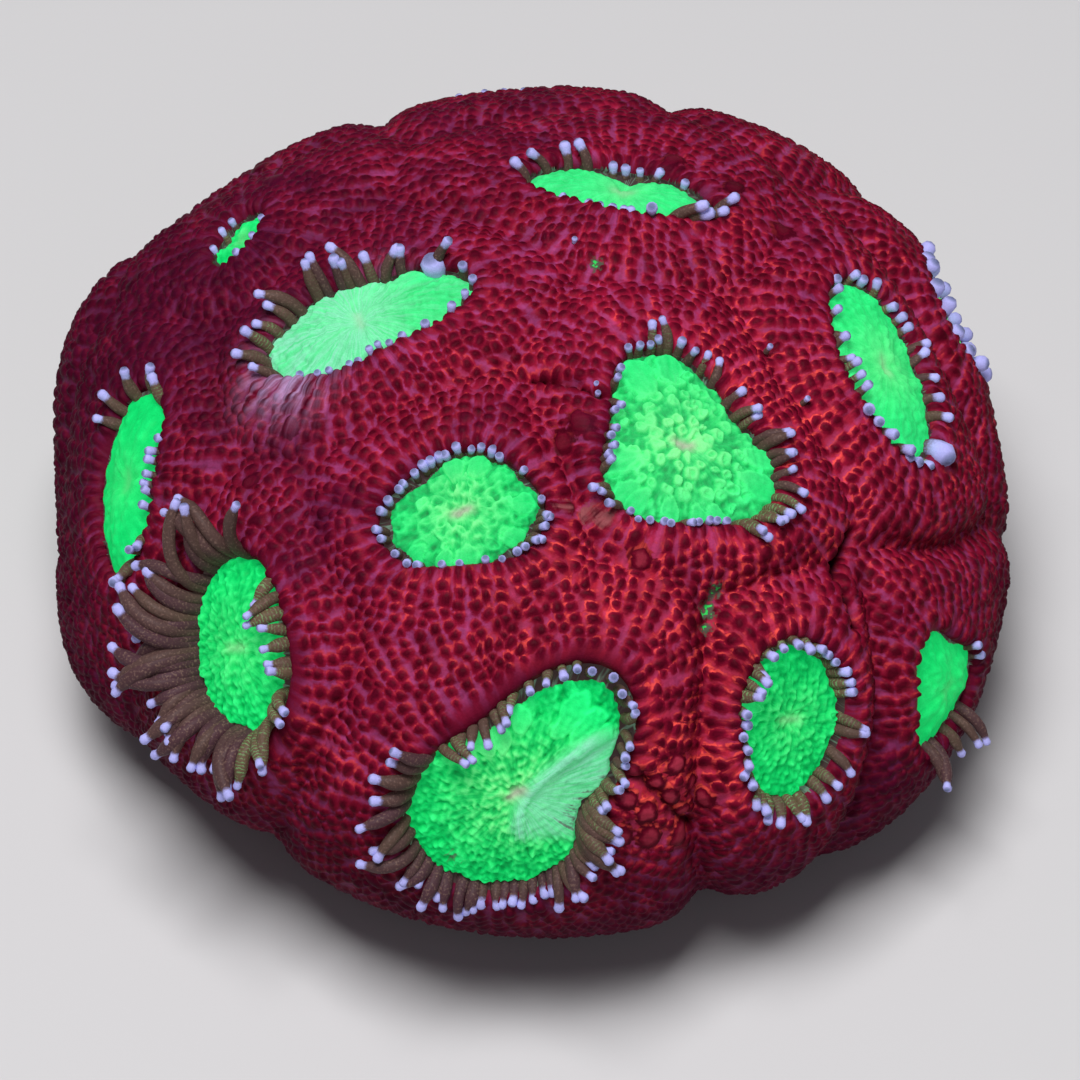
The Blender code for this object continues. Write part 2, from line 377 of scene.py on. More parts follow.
def big_blisters(net, dice):
    """Adds the few swollen blisters, before the rows that make way for them."""
    for azimuth, latitude, spread, many, radius in BIG_BLISTERS:
        number = np.arange(many)
        away = spread * np.sqrt((number + 0.5) / many)
        angle = np.radians(dice.uniform(0.0, 360.0) + TURN_TO_NEXT * number)
        across = away * np.cos(angle) / math.cos(math.radians(latitude))
        rays = direction(azimuth + across, latitude + away * np.sin(angle))
        normals = dome_normal(dome_point(rays))
        uphill = unit(np.array([0.0, 0.0, 1.0]) - normals * normals[:, 2:])
        size = radius * dice.uniform(0.85, 1.15, many)
        net.add(rays, BLISTER, uphill, size * BIG_SHAPE[0], size * BIG_SHAPE[1])


SHORTEST_ROWS = 0.004        # how far every row tries to run
NEW_ROW_GAP = (1.35, 1.65)   # row pitches between two rows where a new one starts
OUT_OF_STEP = 0.35           # how far rows are out of step, in blister pitches
LIP_STEP = 0.45              # share of that at the lip
ROW_MEMORY = 0.7             # share of its stray that a row keeps at its next blister
ALONG_JITTER = 0.10          # in blister pitches
ACROSS_JITTER = 0.08         # in row pitches
ROW_WIDTHS = (0.75, 1.35)    # narrowest and widest blisters, in row pitches
BLISTER_SIZES = (0.78, 1.18)
LIP_SIZE = 0.85              # size of the blisters at the lip, as a share of the rest
SQUASH = (0.88, 1.14)


def blister_rows(polyp, net, dice):
    """Adds one polyp's rows of blisters to the net."""
    theta = polyp.even_headings(ROW_PITCH, FIRST_BLISTER)
    phase = dice.uniform(-OUT_OF_STEP, OUT_OF_STEP, len(theta))
    drift = np.zeros(len(theta))
    reach = FIRST_BLISTER
    nudge = BLISTER_PITCH * 0.2
    while reach < FURTHEST_BLISTER:
        # the first blisters crowd along the lip, smaller than the rest
        at_lip = reach == FIRST_BLISTER
        points = dome_point(polyp.place(theta, polyp.outline(theta) + reach))
        gap = np.linalg.norm(np.roll(points, -1, axis=0) - points, axis=1)
        spread_out = gap > ROW_PITCH * dice.uniform(*NEW_ROW_GAP, len(gap))
        between = theta + np.angle(np.exp(1j * (np.roll(theta, -1) - theta))) / 2.0
        theta = np.concatenate([theta, between[spread_out]])
        added = spread_out.sum()
        phase = np.concatenate([phase, dice.uniform(-OUT_OF_STEP, OUT_OF_STEP, added)])
        drift = np.concatenate([drift, np.zeros(added)])
        order = np.argsort(np.mod(theta, 2.0 * math.pi))
        theta = theta[order]
        phase = phase[order]
        drift = ROW_MEMORY * drift[order] + dice.normal(0.0, ROW_WANDER, len(theta))
        distance = polyp.outline(theta) + reach
        points = dome_point(polyp.place(theta, distance))
        before = np.linalg.norm(np.roll(points, 1, axis=0) - points, axis=1)
        after = np.linalg.norm(np.roll(points, -1, axis=0) - points, axis=1)
        narrowest, widest = ROW_WIDTHS
        width = np.clip((before + after) / 2.0, narrowest * ROW_PITCH, widest * ROW_PITCH)

        shift = (LIP_STEP if at_lip else 1.0) * phase
        shift = shift + dice.uniform(-ALONG_JITTER, ALONG_JITTER, len(theta))
        distance = distance + BLISTER_PITCH * shift
        distance += extra_width(polyp, theta, SMOOTH_LIPS)
        jitter = dice.uniform(-ACROSS_JITTER, ACROSS_JITTER, len(theta)) * ROW_PITCH
        jitter = (drift + jitter) / distance
        rays = polyp.place(theta + jitter, distance)
        centres = dome_point(rays)
        ahead = dome_point(polyp.place(theta + jitter, distance + nudge))
        outside = outside_all(centres)
        own = owners(outside) == polyp_number[polyp.name]
        own &= centres[:, 2] > -CUT_DEPTH + CUT_CLEARANCE
        own &= distance - polyp.outline(theta) > FIRST_BLISTER * 0.4
        if reach > SHORTEST_ROWS and not own.any():
            break
        size = dice.uniform(*BLISTER_SIZES, len(theta)) * (LIP_SIZE if at_lip else 1.0)
        squash = dice.uniform(*SQUASH, len(theta))
        net.add(rays[own], BLISTER, unit(ahead - centres)[own],
                (BLISTER_LENGTH * BLISTER_PITCH / 2.0 * size * squash)[own],
                (BLISTER_WIDTH * width / 2.0 * size / squash)[own])
        slope = (polyp.outline(theta + 0.01) - polyp.outline(theta - 0.01)) / 0.02
        theta = theta - slope / distance ** 2 * BLISTER_PITCH
        reach += BLISTER_PITCH


GAP_TRIES = 40000            # places tried for a blister in a gap
GOLDEN_ANGLE = 137.508       # degrees from one try to the next, which spreads them evenly
LOWEST_TRY = 1.5             # how far down they reach: 1 to the widest level, 2 all over
FROM_LIP = 2.5               # blister pitches from the lip, which has its rows already
GAP_SIZES = (0.42, 0.54)     # radius of such a blister, in blister pitches


def gap_blisters(net, dice):
    """Adds blisters in the gaps left where rows from different cups meet or run out."""
    placed = dome_point(np.concatenate([part[0][part[1] == BLISTER] for part in net.parts]))
    tree = KDTree(len(placed))
    for number, point in enumerate(placed):
        tree.insert(point, number)
    tree.balance()
    number = np.arange(GAP_TRIES)
    sine = 1.0 - LOWEST_TRY * number / GAP_TRIES
    rays = direction(GOLDEN_ANGLE * number, np.degrees(np.arcsin(sine)))
    points = dome_point(rays)
    outside = outside_all(points)
    own = owners(outside)
    edge = outside[number, own]
    open_skin = (edge > FROM_LIP * BLISTER_PITCH) & (points[:, 2] > -CUT_DEPTH + CUT_CLEARANCE)
    chosen = []
    for at in np.flatnonzero(open_skin):
        if tree.find(points[at])[2] > CLEAR_GAP:
            away = ((points[chosen] - points[at]) ** 2).sum(axis=1)
            if (away > CLEAR_GAP ** 2).all():
                chosen.append(at)
    centres = np.array([polyp.centre for polyp in polyps])[own[chosen]]
    normals = dome_normal(points[chosen])
    outwards = points[chosen] - centres
    outwards -= normals * (outwards * normals).sum(axis=1)[:, None]
    size = dice.uniform(*GAP_SIZES, len(chosen)) * BLISTER_PITCH
    net.add(rays[chosen], BLISTER, unit(outwards), 1.05 * size, size)


# How each disc is made up: how many flat buttons stand round its edge, their radius, the
# kind of bump over the rest, the bumps' spacing, how much they stretch out from the mouth,
# and the share of them left out
DISC_BUMPS = {
    "middle": (8, 0.00070, CRATER, 0.00090, 1.0, 0.12),
    "three_cornered": (8, 0.00066, CRATER, 0.00098, 1.0, 0.12),
    "front": (4, 0.00050, WRINKLE, 0.00086, 2.0, 0.5),
    "front_right": (4, 0.00045, WRINKLE, 0.00066, 1.4, 0.25),
    "front_left": (3, 0.00050, WRINKLE, 0.00086, 1.9, 0.5),
    "left": (0, 0.00050, WRINKLE, 0.00090, 1.5, 0.5),
    "rear_left": (3, 0.00055, WRINKLE, 0.00085, 1.5, 0.4),
    "rear_left_small": (2, 0.00045, WRINKLE, 0.00080, 1.3, 0.3),
    "rear": (5, 0.00050, WRINKLE, 0.00080, 1.2, 0.3),
    "right": (6, 0.00055, WRINKLE, 0.00085, 1.3, 0.3),
    "low_right": (0, 0.00045, WRINKLE, 0.00085, 1.0, 0.6),
}
USUAL_BUMPS = (5, 0.00055, CRATER, 0.00085, 1.0, 0.2)
NETTED_HEARTS = ("middle", "back", "back_left")      # discs with a net of ridges round the mouth
CRATER_SIZE = 0.54           # half width of a crater or wrinkle, as a share of their spacing
HEART = 0.50                 # share of a netted disc that its net covers
PIT_SIZE = 0.58              # half width of a mesh of the net, as a share of the spacing
BUTTON_SHAPE = 1.1           # how much longer than wide a button is
BUTTON_SIZES = (0.85, 1.15)
BUMP_SIZES = (0.60, 1.20)
BUMP_STRAY = 0.2             # how far a bump lies off its place, as a share of the spacing


def disc_bumps(polyp, net, dice):
    """Adds one disc's buttons and bumps to the net."""
    buttons, radius, kind, spacing, stretch, left_out = DISC_BUMPS.get(polyp.name, USUAL_BUMPS)
    theta = np.linspace(0.0, 2.0 * math.pi, buttons, endpoint=False)
    theta += dice.uniform(0.0, 2.0 * math.pi) + dice.uniform(-0.25, 0.25, buttons)
    inset = WALL + DISC_EDGE + radius * 1.05 + extra_width(polyp, theta, WIDE_GROOVES)
    distance = np.maximum(polyp.outline(theta) - inset, 0.0)
    size = dice.uniform(*BUTTON_SIZES, buttons) * radius
    flat = np.stack([distance * np.cos(theta), distance * np.sin(theta)], axis=-1)
    rays = polyp.place(theta, distance)
    net.add(rays, BUTTON, np.broadcast_to(polyp.east, rays.shape), size * BUTTON_SHAPE, size)

    half = max(polyp.half_width, polyp.half_length) * 1.3
    rows = math.ceil(half / spacing)
    grid = np.arange(-rows, rows + 1)
    column, row = np.meshgrid(grid, grid)
    x = ((column + 0.5 * (row % 2)) * spacing).ravel()
    y = (row * spacing * math.sqrt(0.75)).ravel()
    x = x + dice.uniform(-BUMP_STRAY, BUMP_STRAY, len(x)) * spacing
    y = y + dice.uniform(-BUMP_STRAY, BUMP_STRAY, len(y)) * spacing
    theta = np.arctan2(y, x)
    distance = np.hypot(x, y)
    inner = WALL + DISC_EDGE + 0.5 * spacing + extra_width(polyp, theta, WIDE_GROOVES)
    clear = distance < polyp.outline(theta) - inner
    if buttons:
        apart = np.hypot(x[:, None] - flat[:, 0], y[:, None] - flat[:, 1])
        clear &= (apart - size * BUTTON_SHAPE).min(axis=1) > 0.40 * spacing
    theta = theta[clear]
    distance = distance[clear]
    rays = polyp.place(theta, distance)
    centres = dome_point(rays)
    outwards = unit(centres - polyp.centre)
    size = dice.uniform(*BUMP_SIZES, len(theta)) * spacing * CRATER_SIZE
    plain = dice.uniform(0.0, 1.0, len(theta)) < left_out
    in_heart = (distance / polyp.outline(theta) < HEART) & (polyp.name in NETTED_HEARTS)
    size = np.where(in_heart, PIT_SIZE * spacing, size)
    for chosen, what in ((~in_heart & ~plain, kind), (~in_heart & plain, PLAIN), (in_heart, PIT)):
        net.add(rays[chosen], what, outwards[chosen], size[chosen] * stretch ** 0.5,
                size[chosen] / stretch ** 0.5)


dice = np.random.default_rng(11)
net = Net()
CUT_EDGE_PITCH = 0.0011
HALVINGS = 30                # of the range in which the cut's latitude is looked for
cut_points = round(2.0 * math.pi * HALF_WIDTH / CUT_EDGE_PITCH)
cut_azimuth = np.linspace(0.0, 360.0, cut_points, endpoint=False)
low = np.full(cut_points, -80.0)
high = np.zeros(cut_points)
for _ in range(HALVINGS):
    middle = (low + high) / 2.0
    above = dome_point(direction(cut_azimuth, middle))[:, 2] > -CUT_DEPTH
    high = np.where(above, middle, high)
    low = np.where(above, low, middle)
net.add_plain(direction(cut_azimuth, high))
big_blisters(net, dice)
RIM_RINGS = [(0.0, 0.00075), (-WALL, 0.00070), (-WALL - DISC_EDGE, 0.00070)]
for polyp in polyps:
    for outside, pitch in RIM_RINGS:
        theta = polyp.even_headings(pitch, outside)
        inwards = extra_width(polyp, theta, WIDE_GROOVES) if outside < -WALL else 0.0
        net.add_plain(polyp.place(theta, polyp.outline(theta) + outside - inwards))
    disc_bumps(polyp, net, dice)
for polyp in polyps:
    blister_rows(polyp, net, dice)
gap_blisters(net, dice)
corner_rays, corner_kind, corner_along, corner_half_along, corner_half_across = net.gathered()
corner_points = dome_point(corner_rays)
corner_normals = dome_normal(corner_points)
corner_across = np.cross(corner_normals, corner_along)
corner_tone = dice.uniform(-1.0, 1.0, len(corner_rays))
corner_size = dice.uniform(0.75, 1.15, len(corner_rays))

# The net is drawn on a plane as seen from straight below the head, which keeps every
# triangle as compact as it is on the dome; triangles across the cut face are left out.
JOINED = 1e-9                # corners of the net closer than this would be one
flat = corner_rays[:, :2] / (1.0 + corner_rays[:, 2:])
net_faces = np.array(delaunay_2d_cdt([Vector(p) for p in flat.tolist()], [], [], 0, JOINED)[2])
net_faces = net_faces[(net_faces >= cut_points).any(axis=1)]

# Every triangle of the net is divided into smaller ones, sharing the points on its sides,
# and twice as finely on the five largest open discs, which carry the smallest bumps.
DIVISIONS = 5
FINE_DISCS = ("middle", "three_cornered", "front", "front_right", "front_left")


def divided(faces, corners, parts):
    """Points and small triangles: each point's three corners and its shares of them."""
    sides = np.sort(np.concatenate([faces[:, [0, 1]], faces[:, [1, 2]], faces[:, [2, 0]]]), 1)
    unique, which = np.unique(sides, axis=0, return_inverse=True)
    which = which.reshape(3, -1)
    inner = parts - 1
    side_base = corners
    face_base = side_base + len(unique) * inner
    per_face = (parts - 1) * (parts - 2) // 2
    total = face_base + len(faces) * per_face
    parents = np.zeros((total, 3), dtype=np.int64)
    shares = np.zeros((total, 3))
    parents[:corners] = np.arange(corners)[:, None]
    shares[:corners, 0] = 1.0
    for step in range(1, parts):
        at = side_base + np.arange(len(unique)) * inner + step - 1
        parents[at] = unique[:, [0, 1, 1]]
        shares[at] = (1.0 - step / parts, step / parts, 0.0)
    node = {}
    count = 0
    for i in range(parts + 1):
        for j in range(parts + 1 - i):
            k = parts - i - j
            if i == parts or j == parts or k == parts:
                node[i, j] = faces[:, 0 if i == parts else 1 if j == parts else 2]
            elif i == 0 or j == 0 or k == 0:
                side = 1 if i == 0 else 2 if j == 0 else 0
                start, end = ((0, 1), (1, 2), (2, 0))[side]
                along = {0: j, 1: k, 2: i}[side]
                forward = faces[:, start] < faces[:, end]
                step = np.where(forward, along, parts - along)
                node[i, j] = side_base + which[side] * inner + step - 1
            else:
                at = face_base + np.arange(len(faces)) * per_face + count
                parents[at] = faces
                shares[at] = (i / parts, j / parts, k / parts)
                node[i, j] = at
                count += 1
    small = []
    for i in range(parts):
        for j in range(parts - i):
            small.append(np.stack([node[i + 1, j], node[i, j + 1], node[i, j]], axis=1))
            if i + j < parts - 1:
                small.append(np.stack([node[i + 1, j], node[i + 1, j + 1], node[i, j + 1]], 1))
    return parents, shares, np.concatenate(small)


FINE_EDGE = 0.00005          # how far outside its groove a disc is still divided finely
fine_face = np.zeros(len(net_faces), dtype=bool)
for name in FINE_DISCS:
    inside = polyps[polyp_number[name]].outside(corner_points) < FINE_EDGE - WALL
    fine_face |= inside[net_faces].all(axis=1)
parents, shares, skin_faces = divided(net_faces[~fine_face], len(corner_rays), DIVISIONS)
more = divided(net_faces[fine_face], len(corner_rays), 2 * DIVISIONS)
skin_faces = np.concatenate([skin_faces, more[2] + len(parents)])
parents = np.concatenate([parents, more[0]])
shares = np.concatenate([shares, more[1]])
skin_rays = unit(np.einsum("ij,ijk->ik", shares, corner_rays[parents]))
skin_dome = dome_point(skin_rays)
turned = np.cross(skin_dome[skin_faces[:, 1]] - skin_dome[skin_faces[:, 0]],
                  skin_dome[skin_faces[:, 2]] - skin_dome[skin_faces[:, 0]])
inside_out = np.einsum("ij,ij->i", turned, skin_dome[skin_faces[:, 0]]) < 0.0
skin_faces[inside_out] = skin_faces[inside_out][:, ::-1]

# Where each point of the skin lies: its polyp, how far outside that polyp's cup, and its
# heading from that polyp's mouth.
skin_outside = outside_all(skin_dome)
skin_owner = owners(skin_outside)
skin_crease = crease_at(skin_outside)
skin_edge = np.take_along_axis(skin_outside, skin_owner[:, None], axis=1)[:, 0]
count = len(skin_rays)
skin_heading, skin_groove, skin_radius, skin_smooth, skin_x, skin_y = np.zeros((6, count))
towards_mouth = np.zeros_like(skin_dome)
for number, polyp in enumerate(polyps):
    mine = skin_owner == number
    skin_heading[mine] = polyp.heading(skin_dome[mine])
    skin_groove[mine] = extra_width(polyp, skin_heading[mine], WIDE_GROOVES)
    skin_groove[mine] += RAGGED_EDGE * lobes(skin_heading[mine], number)
    skin_smooth[mine] = extra_width(polyp, skin_heading[mine], SMOOTH_LIPS)
    skin_x[mine] = (skin_dome[mine] - polyp.centre) @ polyp.east
    skin_y[mine] = (skin_dome[mine] - polyp.centre) @ polyp.up
    offset = polyp.centre - skin_dome[mine]
    skin_radius[mine] = np.linalg.norm(offset, axis=1)
    offset -= polyp.normal * (offset @ polyp.normal)[:, None]
    towards_mouth[mine] = unit(offset)


def smooth_step(low, high, value):
    share = np.clip((value - low) / (high - low), 0.0, 1.0)
    return share * share * (3.0 - 2.0 * share)


def per_polyp(table, usual):
    """Each polyp's value from a table by name, or the usual one, at its points of the skin."""
    return np.array([table.get(polyp.name, usual) for polyp in polyps])[skin_owner]


# The swollen lip overhangs the cup, the cup's wall drops to a groove, and the disc rises
# out of the groove as a low cushion with the mouth dimpled into its middle.
LIP_HEIGHT = 0.0006
LIP_OUTER = 0.0007           # how far out the lip keeps its full height
LIP_FADE = 0.0040            # how far beyond that it falls away
LIP_ROUND = 0.00065          # radius of the lip's edge
OVERHANG = 0.00050           # how far the lip's edge hangs over the groove
OVERHANG_RUN = 0.0011        # how far out the lip is drawn in with its edge
GROOVE_DEPTHS = {            # below the dome
    "front": 0.0015, "front_left": 0.0015, "front_right": 0.0012, "left": 0.0001,
    "low_right": 0.0001, "right": 0.0003, "rear": 0.0004, "rear_left": 0.0005,
    "middle": 0.0006, "three_cornered": 0.0006, "rear_left_small": 0.0004,
}
USUAL_GROOVE = 0.0008
SHOULDER_SHARE = 0.42        # depth of the disc's edge, as a share of its groove
MOUTH_DIP = 0.00045
MOUTH_SPREAD = 0.0011
# Depth of each disc's middle below the dome
DISC_MIDDLE = {
    "middle": -0.0001, "three_cornered": -0.0004, "front": 0.0005, "front_right": 0.0004,
    "front_left": 0.0001, "left": -0.0005, "rear_left": -0.0003, "right": -0.0005,
    "rear": -0.0003, "low_right": -0.0008, "rear_left_small": -0.0003,
}
USUAL_MIDDLE = 0.0003

nearest_cup = skin_outside.min(axis=1)
lip = LIP_HEIGHT * np.exp(-np.maximum(nearest_cup - LIP_OUTER, 0.0) / LIP_FADE)
short = np.maximum(LIP_ROUND - np.maximum(skin_edge, 0.0), 0.0)
rounding = LIP_ROUND - np.sqrt(LIP_ROUND ** 2 - short ** 2)
level = lip - skin_crease - rounding
inward = -skin_edge
wall = smooth_step(0.0, WALL, inward)
groove_depth = per_polyp(GROOVE_DEPTHS, USUAL_GROOVE)
shoulder_depth = SHOULDER_SHARE * groove_depth
level += wall * (-groove_depth - level)
on_disc = inward - WALL - skin_groove
shoulder = smooth_step(0.0, DISC_EDGE + 0.0002, on_disc)
level += shoulder * (groove_depth - shoulder_depth)
half_size = np.array([min(polyp.half_width, polyp.half_length) for polyp in polyps])[skin_owner]
cushion = smooth_step(0.0, 1.0, (on_disc - DISC_EDGE) / (0.8 * half_size))
level += cushion * (shoulder_depth - per_polyp(DISC_MIDDLE, USUAL_MIDDLE))
dip = np.exp(-(skin_radius / MOUTH_SPREAD) ** 2)
level -= MOUTH_DIP * dip

# On the front polyp a stiff fold of the disc stands beside the mouth and swings out to
# the right above it; beyond the fold the tissue is thin and pale.
FOLD_START = 0.0008          # to the right of the mouth, level with it
FOLD_SLOPE = 0.60
FOLD_BEND = 140.0
FOLD_HEIGHT = 0.00050
FOLD_WIDTH = 0.00045
FOLD_RISES = (-0.0040, -0.0024)     # where it rises and dies away, up from the mouth
FOLD_ENDS = (0.0034, 0.0050)
on_front = skin_owner == polyp_number["front"]
fold_line = FOLD_START + FOLD_SLOPE * skin_y + FOLD_BEND * skin_y ** 2
fold_slope = FOLD_SLOPE + 2.0 * FOLD_BEND * skin_y
beyond_fold = (skin_x - fold_line) / np.sqrt(1.0 + fold_slope ** 2)
fold_reach = smooth_step(*FOLD_RISES, skin_y) * (1.0 - smooth_step(*FOLD_ENDS, skin_y))
fold_reach *= on_front * smooth_step(0.0, 0.0006, on_disc)
fold_ridge = np.exp(-(beyond_fold / FOLD_WIDTH) ** 2) * fold_reach
pale_tissue = smooth_step(-0.0001, 0.0006, beyond_fold) * fold_reach
level += FOLD_HEIGHT * fold_ridge

# Sharp clefts where the flesh has pulled apart: azimuth and latitude of both ends, width,
# depth
CLEFTS = [
    (61.0, 30.0, 53.0, 28.0, 0.00050, 0.0017),
    (53.0, 28.0, 50.0, 22.0, 0.00045, 0.0009),
    (2.0, 76.0, 34.0, 68.0, 0.00040, 0.0008),
    (34.0, 68.0, 40.0, 64.0, 0.00040, 0.0006),
    (14.0, 18.0, 20.0, 8.0, 0.00045, 0.0009),
]


def off_line(points, azimuth, latitude, far_azimuth, far_latitude):
    """Distance of points from a straight line between two places on the dome."""
    start = dome_point(direction(azimuth, latitude))
    line = dome_point(direction(far_azimuth, far_latitude)) - start
    along = np.clip((points - start) @ line / (line @ line), 0.0, 1.0)
    return np.linalg.norm(points - start - along[:, None] * line, axis=1)


cleft = np.zeros(count)
for azimuth, latitude, far_azimuth, far_latitude, width, depth in CLEFTS:
    away = off_line(skin_dome, azimuth, latitude, far_azimuth, far_latitude)
    cleft = np.maximum(cleft, depth * np.exp(-(away / width) ** 2))
cleft *= smooth_step(0.0, 0.0006, skin_edge)
level -= cleft
skin_points = skin_dome + dome_normal(skin_dome) * level[:, None]
hang = OVERHANG * (1.0 - smooth_step(0.0, OVERHANG_RUN, skin_edge))
hang *= 1.0 - smooth_step(0.0, WALL, inward)
skin_points += towards_mouth * hang[:, None]

# The flesh rolls in where it ends at the cut face.
ROLL = 0.0009                # radius of the rolled edge
skin_points[:, 2] = np.maximum(skin_points[:, 2] + CUT_DEPTH, 0.0)
edge_point = (parents < cut_points).all(axis=1)
skin_points[edge_point, 2] = 0.0
short = np.maximum(ROLL - skin_points[:, 2], 0.0)
rolled = ROLL - np.sqrt(ROLL ** 2 - short ** 2)
skin_points[:, :2] *= (1.0 - rolled / np.linalg.norm(skin_points[:, :2], axis=1))[:, None]
head_low, head_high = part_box("coral_head")
middle_of_cad = np.array([head_low.x + head_high.x, head_low.y + head_high.y]) / 2.0
grown_middle = (skin_points[:, :2].min(axis=0) + skin_points[:, :2].max(axis=0)) / 2.0
centring = middle_of_cad - grown_middle
skin_points[:, :2] += centring
growth_centre = np.array([centring[0], centring[1], CUT_DEPTH])


# ---------------------------------------------------------------- the flesh's relief
# Blisters are oval domes of skin blown up with water; on the discs they are flat buttons,
# ringed craters and wrinkles.  One Geometry Nodes tree raises them all along the skin.
RELIEF = {
    "Blister Height": 0.00032, "Pad Height": 0.00028, "Crater Height": 0.00024,
    "Grain Height": 0.00004, "Grain Size": 0.00030, "Streak Height": 0.00050,
    "Streak Size": (0.00042, 0.00042, 0.0016),
}
BLISTER_ALONE = 1.2          # how far a blister with no neighbour spreads, in its own radii
BLISTER_ROUND = 1.10         # radius of a round blister's furrow, in its own radii
ROUNDNESS = 0.5              # from 0, many-sided cells, to 1, round ones

# Smooth leaf-like pads lie over the bumps: heading where a group starts and ends, how
# many, how far out as a share of the disc, half length, half width
DISC_LEAVES = {
    "middle": [
        (70.0, 125.0, 2, 0.66, 0.0009, 0.0008), (-25.0, 30.0, 2, 0.70, 0.0010, 0.0008),
        (-130.0, -60.0, 3, 0.74, 0.0008, 0.0007),
    ],
    "three_cornered": [
        (150.0, 205.0, 3, 0.76, 0.0014, 0.0008), (-75.0, -35.0, 2, 0.76, 0.0015, 0.0010),
        (45.0, 90.0, 2, 0.72, 0.0015, 0.0010), (-150.0, -95.0, 3, 0.80, 0.0009, 0.0007),
    ],
    "front": [
        (28.0, 66.0, 3, 0.64, 0.0018, 0.0008), (78.0, 150.0, 4, 0.66, 0.0009, 0.0007),
    ],
    "front_right": [(95.0, 150.0, 2, 0.7, 0.0010, 0.0006)],
    "rear_left": [(120.0, 240.0, 4, 0.66, 0.0012, 0.0008)],
}
LEAF_RISE = 1.3              # height of a leaf, in pad heights
WRINKLE_RISE = 0.5           # height of a wrinkle, in pad heights
# Profiles of the bumps of a disc, in their own radii: where a button's side falls, the
# ring that dents it, a crater's ring and the knob in it, and a pit's rim
BUTTON_SIDE = (0.70, 1.05)
BUTTON_DENT = (0.45, 0.16)   # radius and width
CRATER_RING = (0.62, 0.24)
CRATER_KNOB = (0.0, 0.24)
PIT_RIM = (0.55, 1.05)
PIT_REACH = 1.6


def oval_distance(points, corner):
    """Distance of points from a corner's middle, 1 at the edge of its oval."""
    offset = points - corner_points[corner]
    along = np.einsum("ij,ij->i", offset, corner_along[corner]) / corner_half_along[corner]
    across = np.einsum("ij,ij->i", offset, corner_across[corner]) / corner_half_across[corner]
    return np.sqrt(along ** 2 + across ** 2)


def ring(away, radius, width):
    """A soft ring: 1 on its radius, fading over its width."""
    return np.exp(-((away - radius) / width) ** 2)


def wander(points, size, dice):
    """Smooth uneven drift with waves of about a given size, about -1 to 1 each way."""
    drift = np.zeros_like(points)
    for _ in range(6):
        waves = unit(dice.normal(0.0, 1.0, 3)) * 2.0 * math.pi / size * dice.uniform(0.7, 1.4)
        drift += np.cos((points @ waves)[:, None] + dice.uniform(0.0, 6.28, 3))
    return drift / 3.0


# No blister is a true oval: the skin is looked at through a slight wavy warp.
WARP = [(0.0020, 0.00012), (0.0009, 0.00006)]      # size of the waves, how far they shift
warped = skin_dome.copy()
for size, shift in WARP:
    warped += shift * wander(skin_dome, size, dice)

FAR = 9.0                    # stands for no bump within reach, in a bump's own radii
first, second, nearest = np.full((3, count), FAR)
plump = np.ones(count)
pad, crater, mound, tone, painted_lit_side, side, swollen = np.zeros((7, count))
is_large = np.sqrt(corner_half_along * corner_half_across) > LARGE_RADIUS
PAINTED_LIGHT_FROM = unit(np.array([-0.35, 0.55, 0.76]))       # towards the painted light: the side of a blister that faces it gets a painted highlight
# Each point of the skin lies on a triangle of the net and looks at its three corners in
# turn: how near their bumps are, which one it is on, and what that bump's shape is there.
for column in range(3):
    corner = parents[:, column]
    kind = corner_kind[corner]
    away = oval_distance(warped, corner)
    away = np.where(kind == PLAIN, FAR, away)
    dome = np.clip(1.0 - away ** 2, 0.0, 1.0) ** 0.8 * corner_size[corner]
    is_blister = kind == BLISTER
    for before in range(column):
        is_blister &= corner != parents[:, before]
    offset = skin_dome - corner_points[corner]
    uphill = np.einsum("ij,j->i", unit(offset), PAINTED_LIGHT_FROM)
    across = np.einsum("ij,ij->i", offset, corner_across[corner]) / corner_half_across[corner]
    beside = np.minimum((across / np.maximum(away, 0.01)) ** 2, 1.0)
    beside *= smooth_step(0.2, 0.7, away)
    closer = is_blister & (away < first)
    farther = is_blister & ~closer
    second = np.where(closer, first, np.where(farther, np.minimum(second, away), second))
    first = np.where(closer, away, first)
    painted_lit_side = np.where(closer, uphill, painted_lit_side)
    side = np.where(closer, beside, side)
    plump = np.where(closer, corner_size[corner], plump)
    button = (1.0 - smooth_step(*BUTTON_SIDE, away)) - 0.5 * ring(away, *BUTTON_DENT)
    pad = np.maximum(pad, np.where(kind == BUTTON, button, 0.0))
    pad = np.maximum(pad, np.where(kind == WRINKLE, WRINKLE_RISE * dome, 0.0))
    ringed = ring(away, *CRATER_RING) + 0.6 * ring(away, *CRATER_KNOB)
    crater = np.where(kind == CRATER, np.maximum(crater, ringed), crater)
    mound = np.where(kind == CRATER, np.maximum(mound, dome), mound)
    net_ridge = 0.9 * smooth_step(*PIT_RIM, away) * np.exp(-np.maximum(away - 1.1, 0.0) * 3.0)
    in_reach = (kind == PIT) & (away < PIT_REACH)
    crater = np.where(in_reach, np.maximum(crater, net_ridge), crater)
    nearer = away < nearest
    tone = np.where(nearer, corner_tone[corner], tone)
    swollen = np.where(nearer, is_large[corner], swollen)
    nearest = np.where(nearer, away, nearest)
# Neighbouring blisters press together: 0 at a blister's middle, 1 in the furrow round it
second = np.minimum(second, np.maximum(2.0 * BLISTER_ALONE - first, first))
pressed = np.clip(2.0 * first / (first + second), 0.0, 1.0)
rounded = np.minimum(first / BLISTER_ROUND, 1.0)
blister = pressed + ROUNDNESS * (rounded - pressed)
bump = (1.0 - blister ** 2.4) ** 0.85 * plump

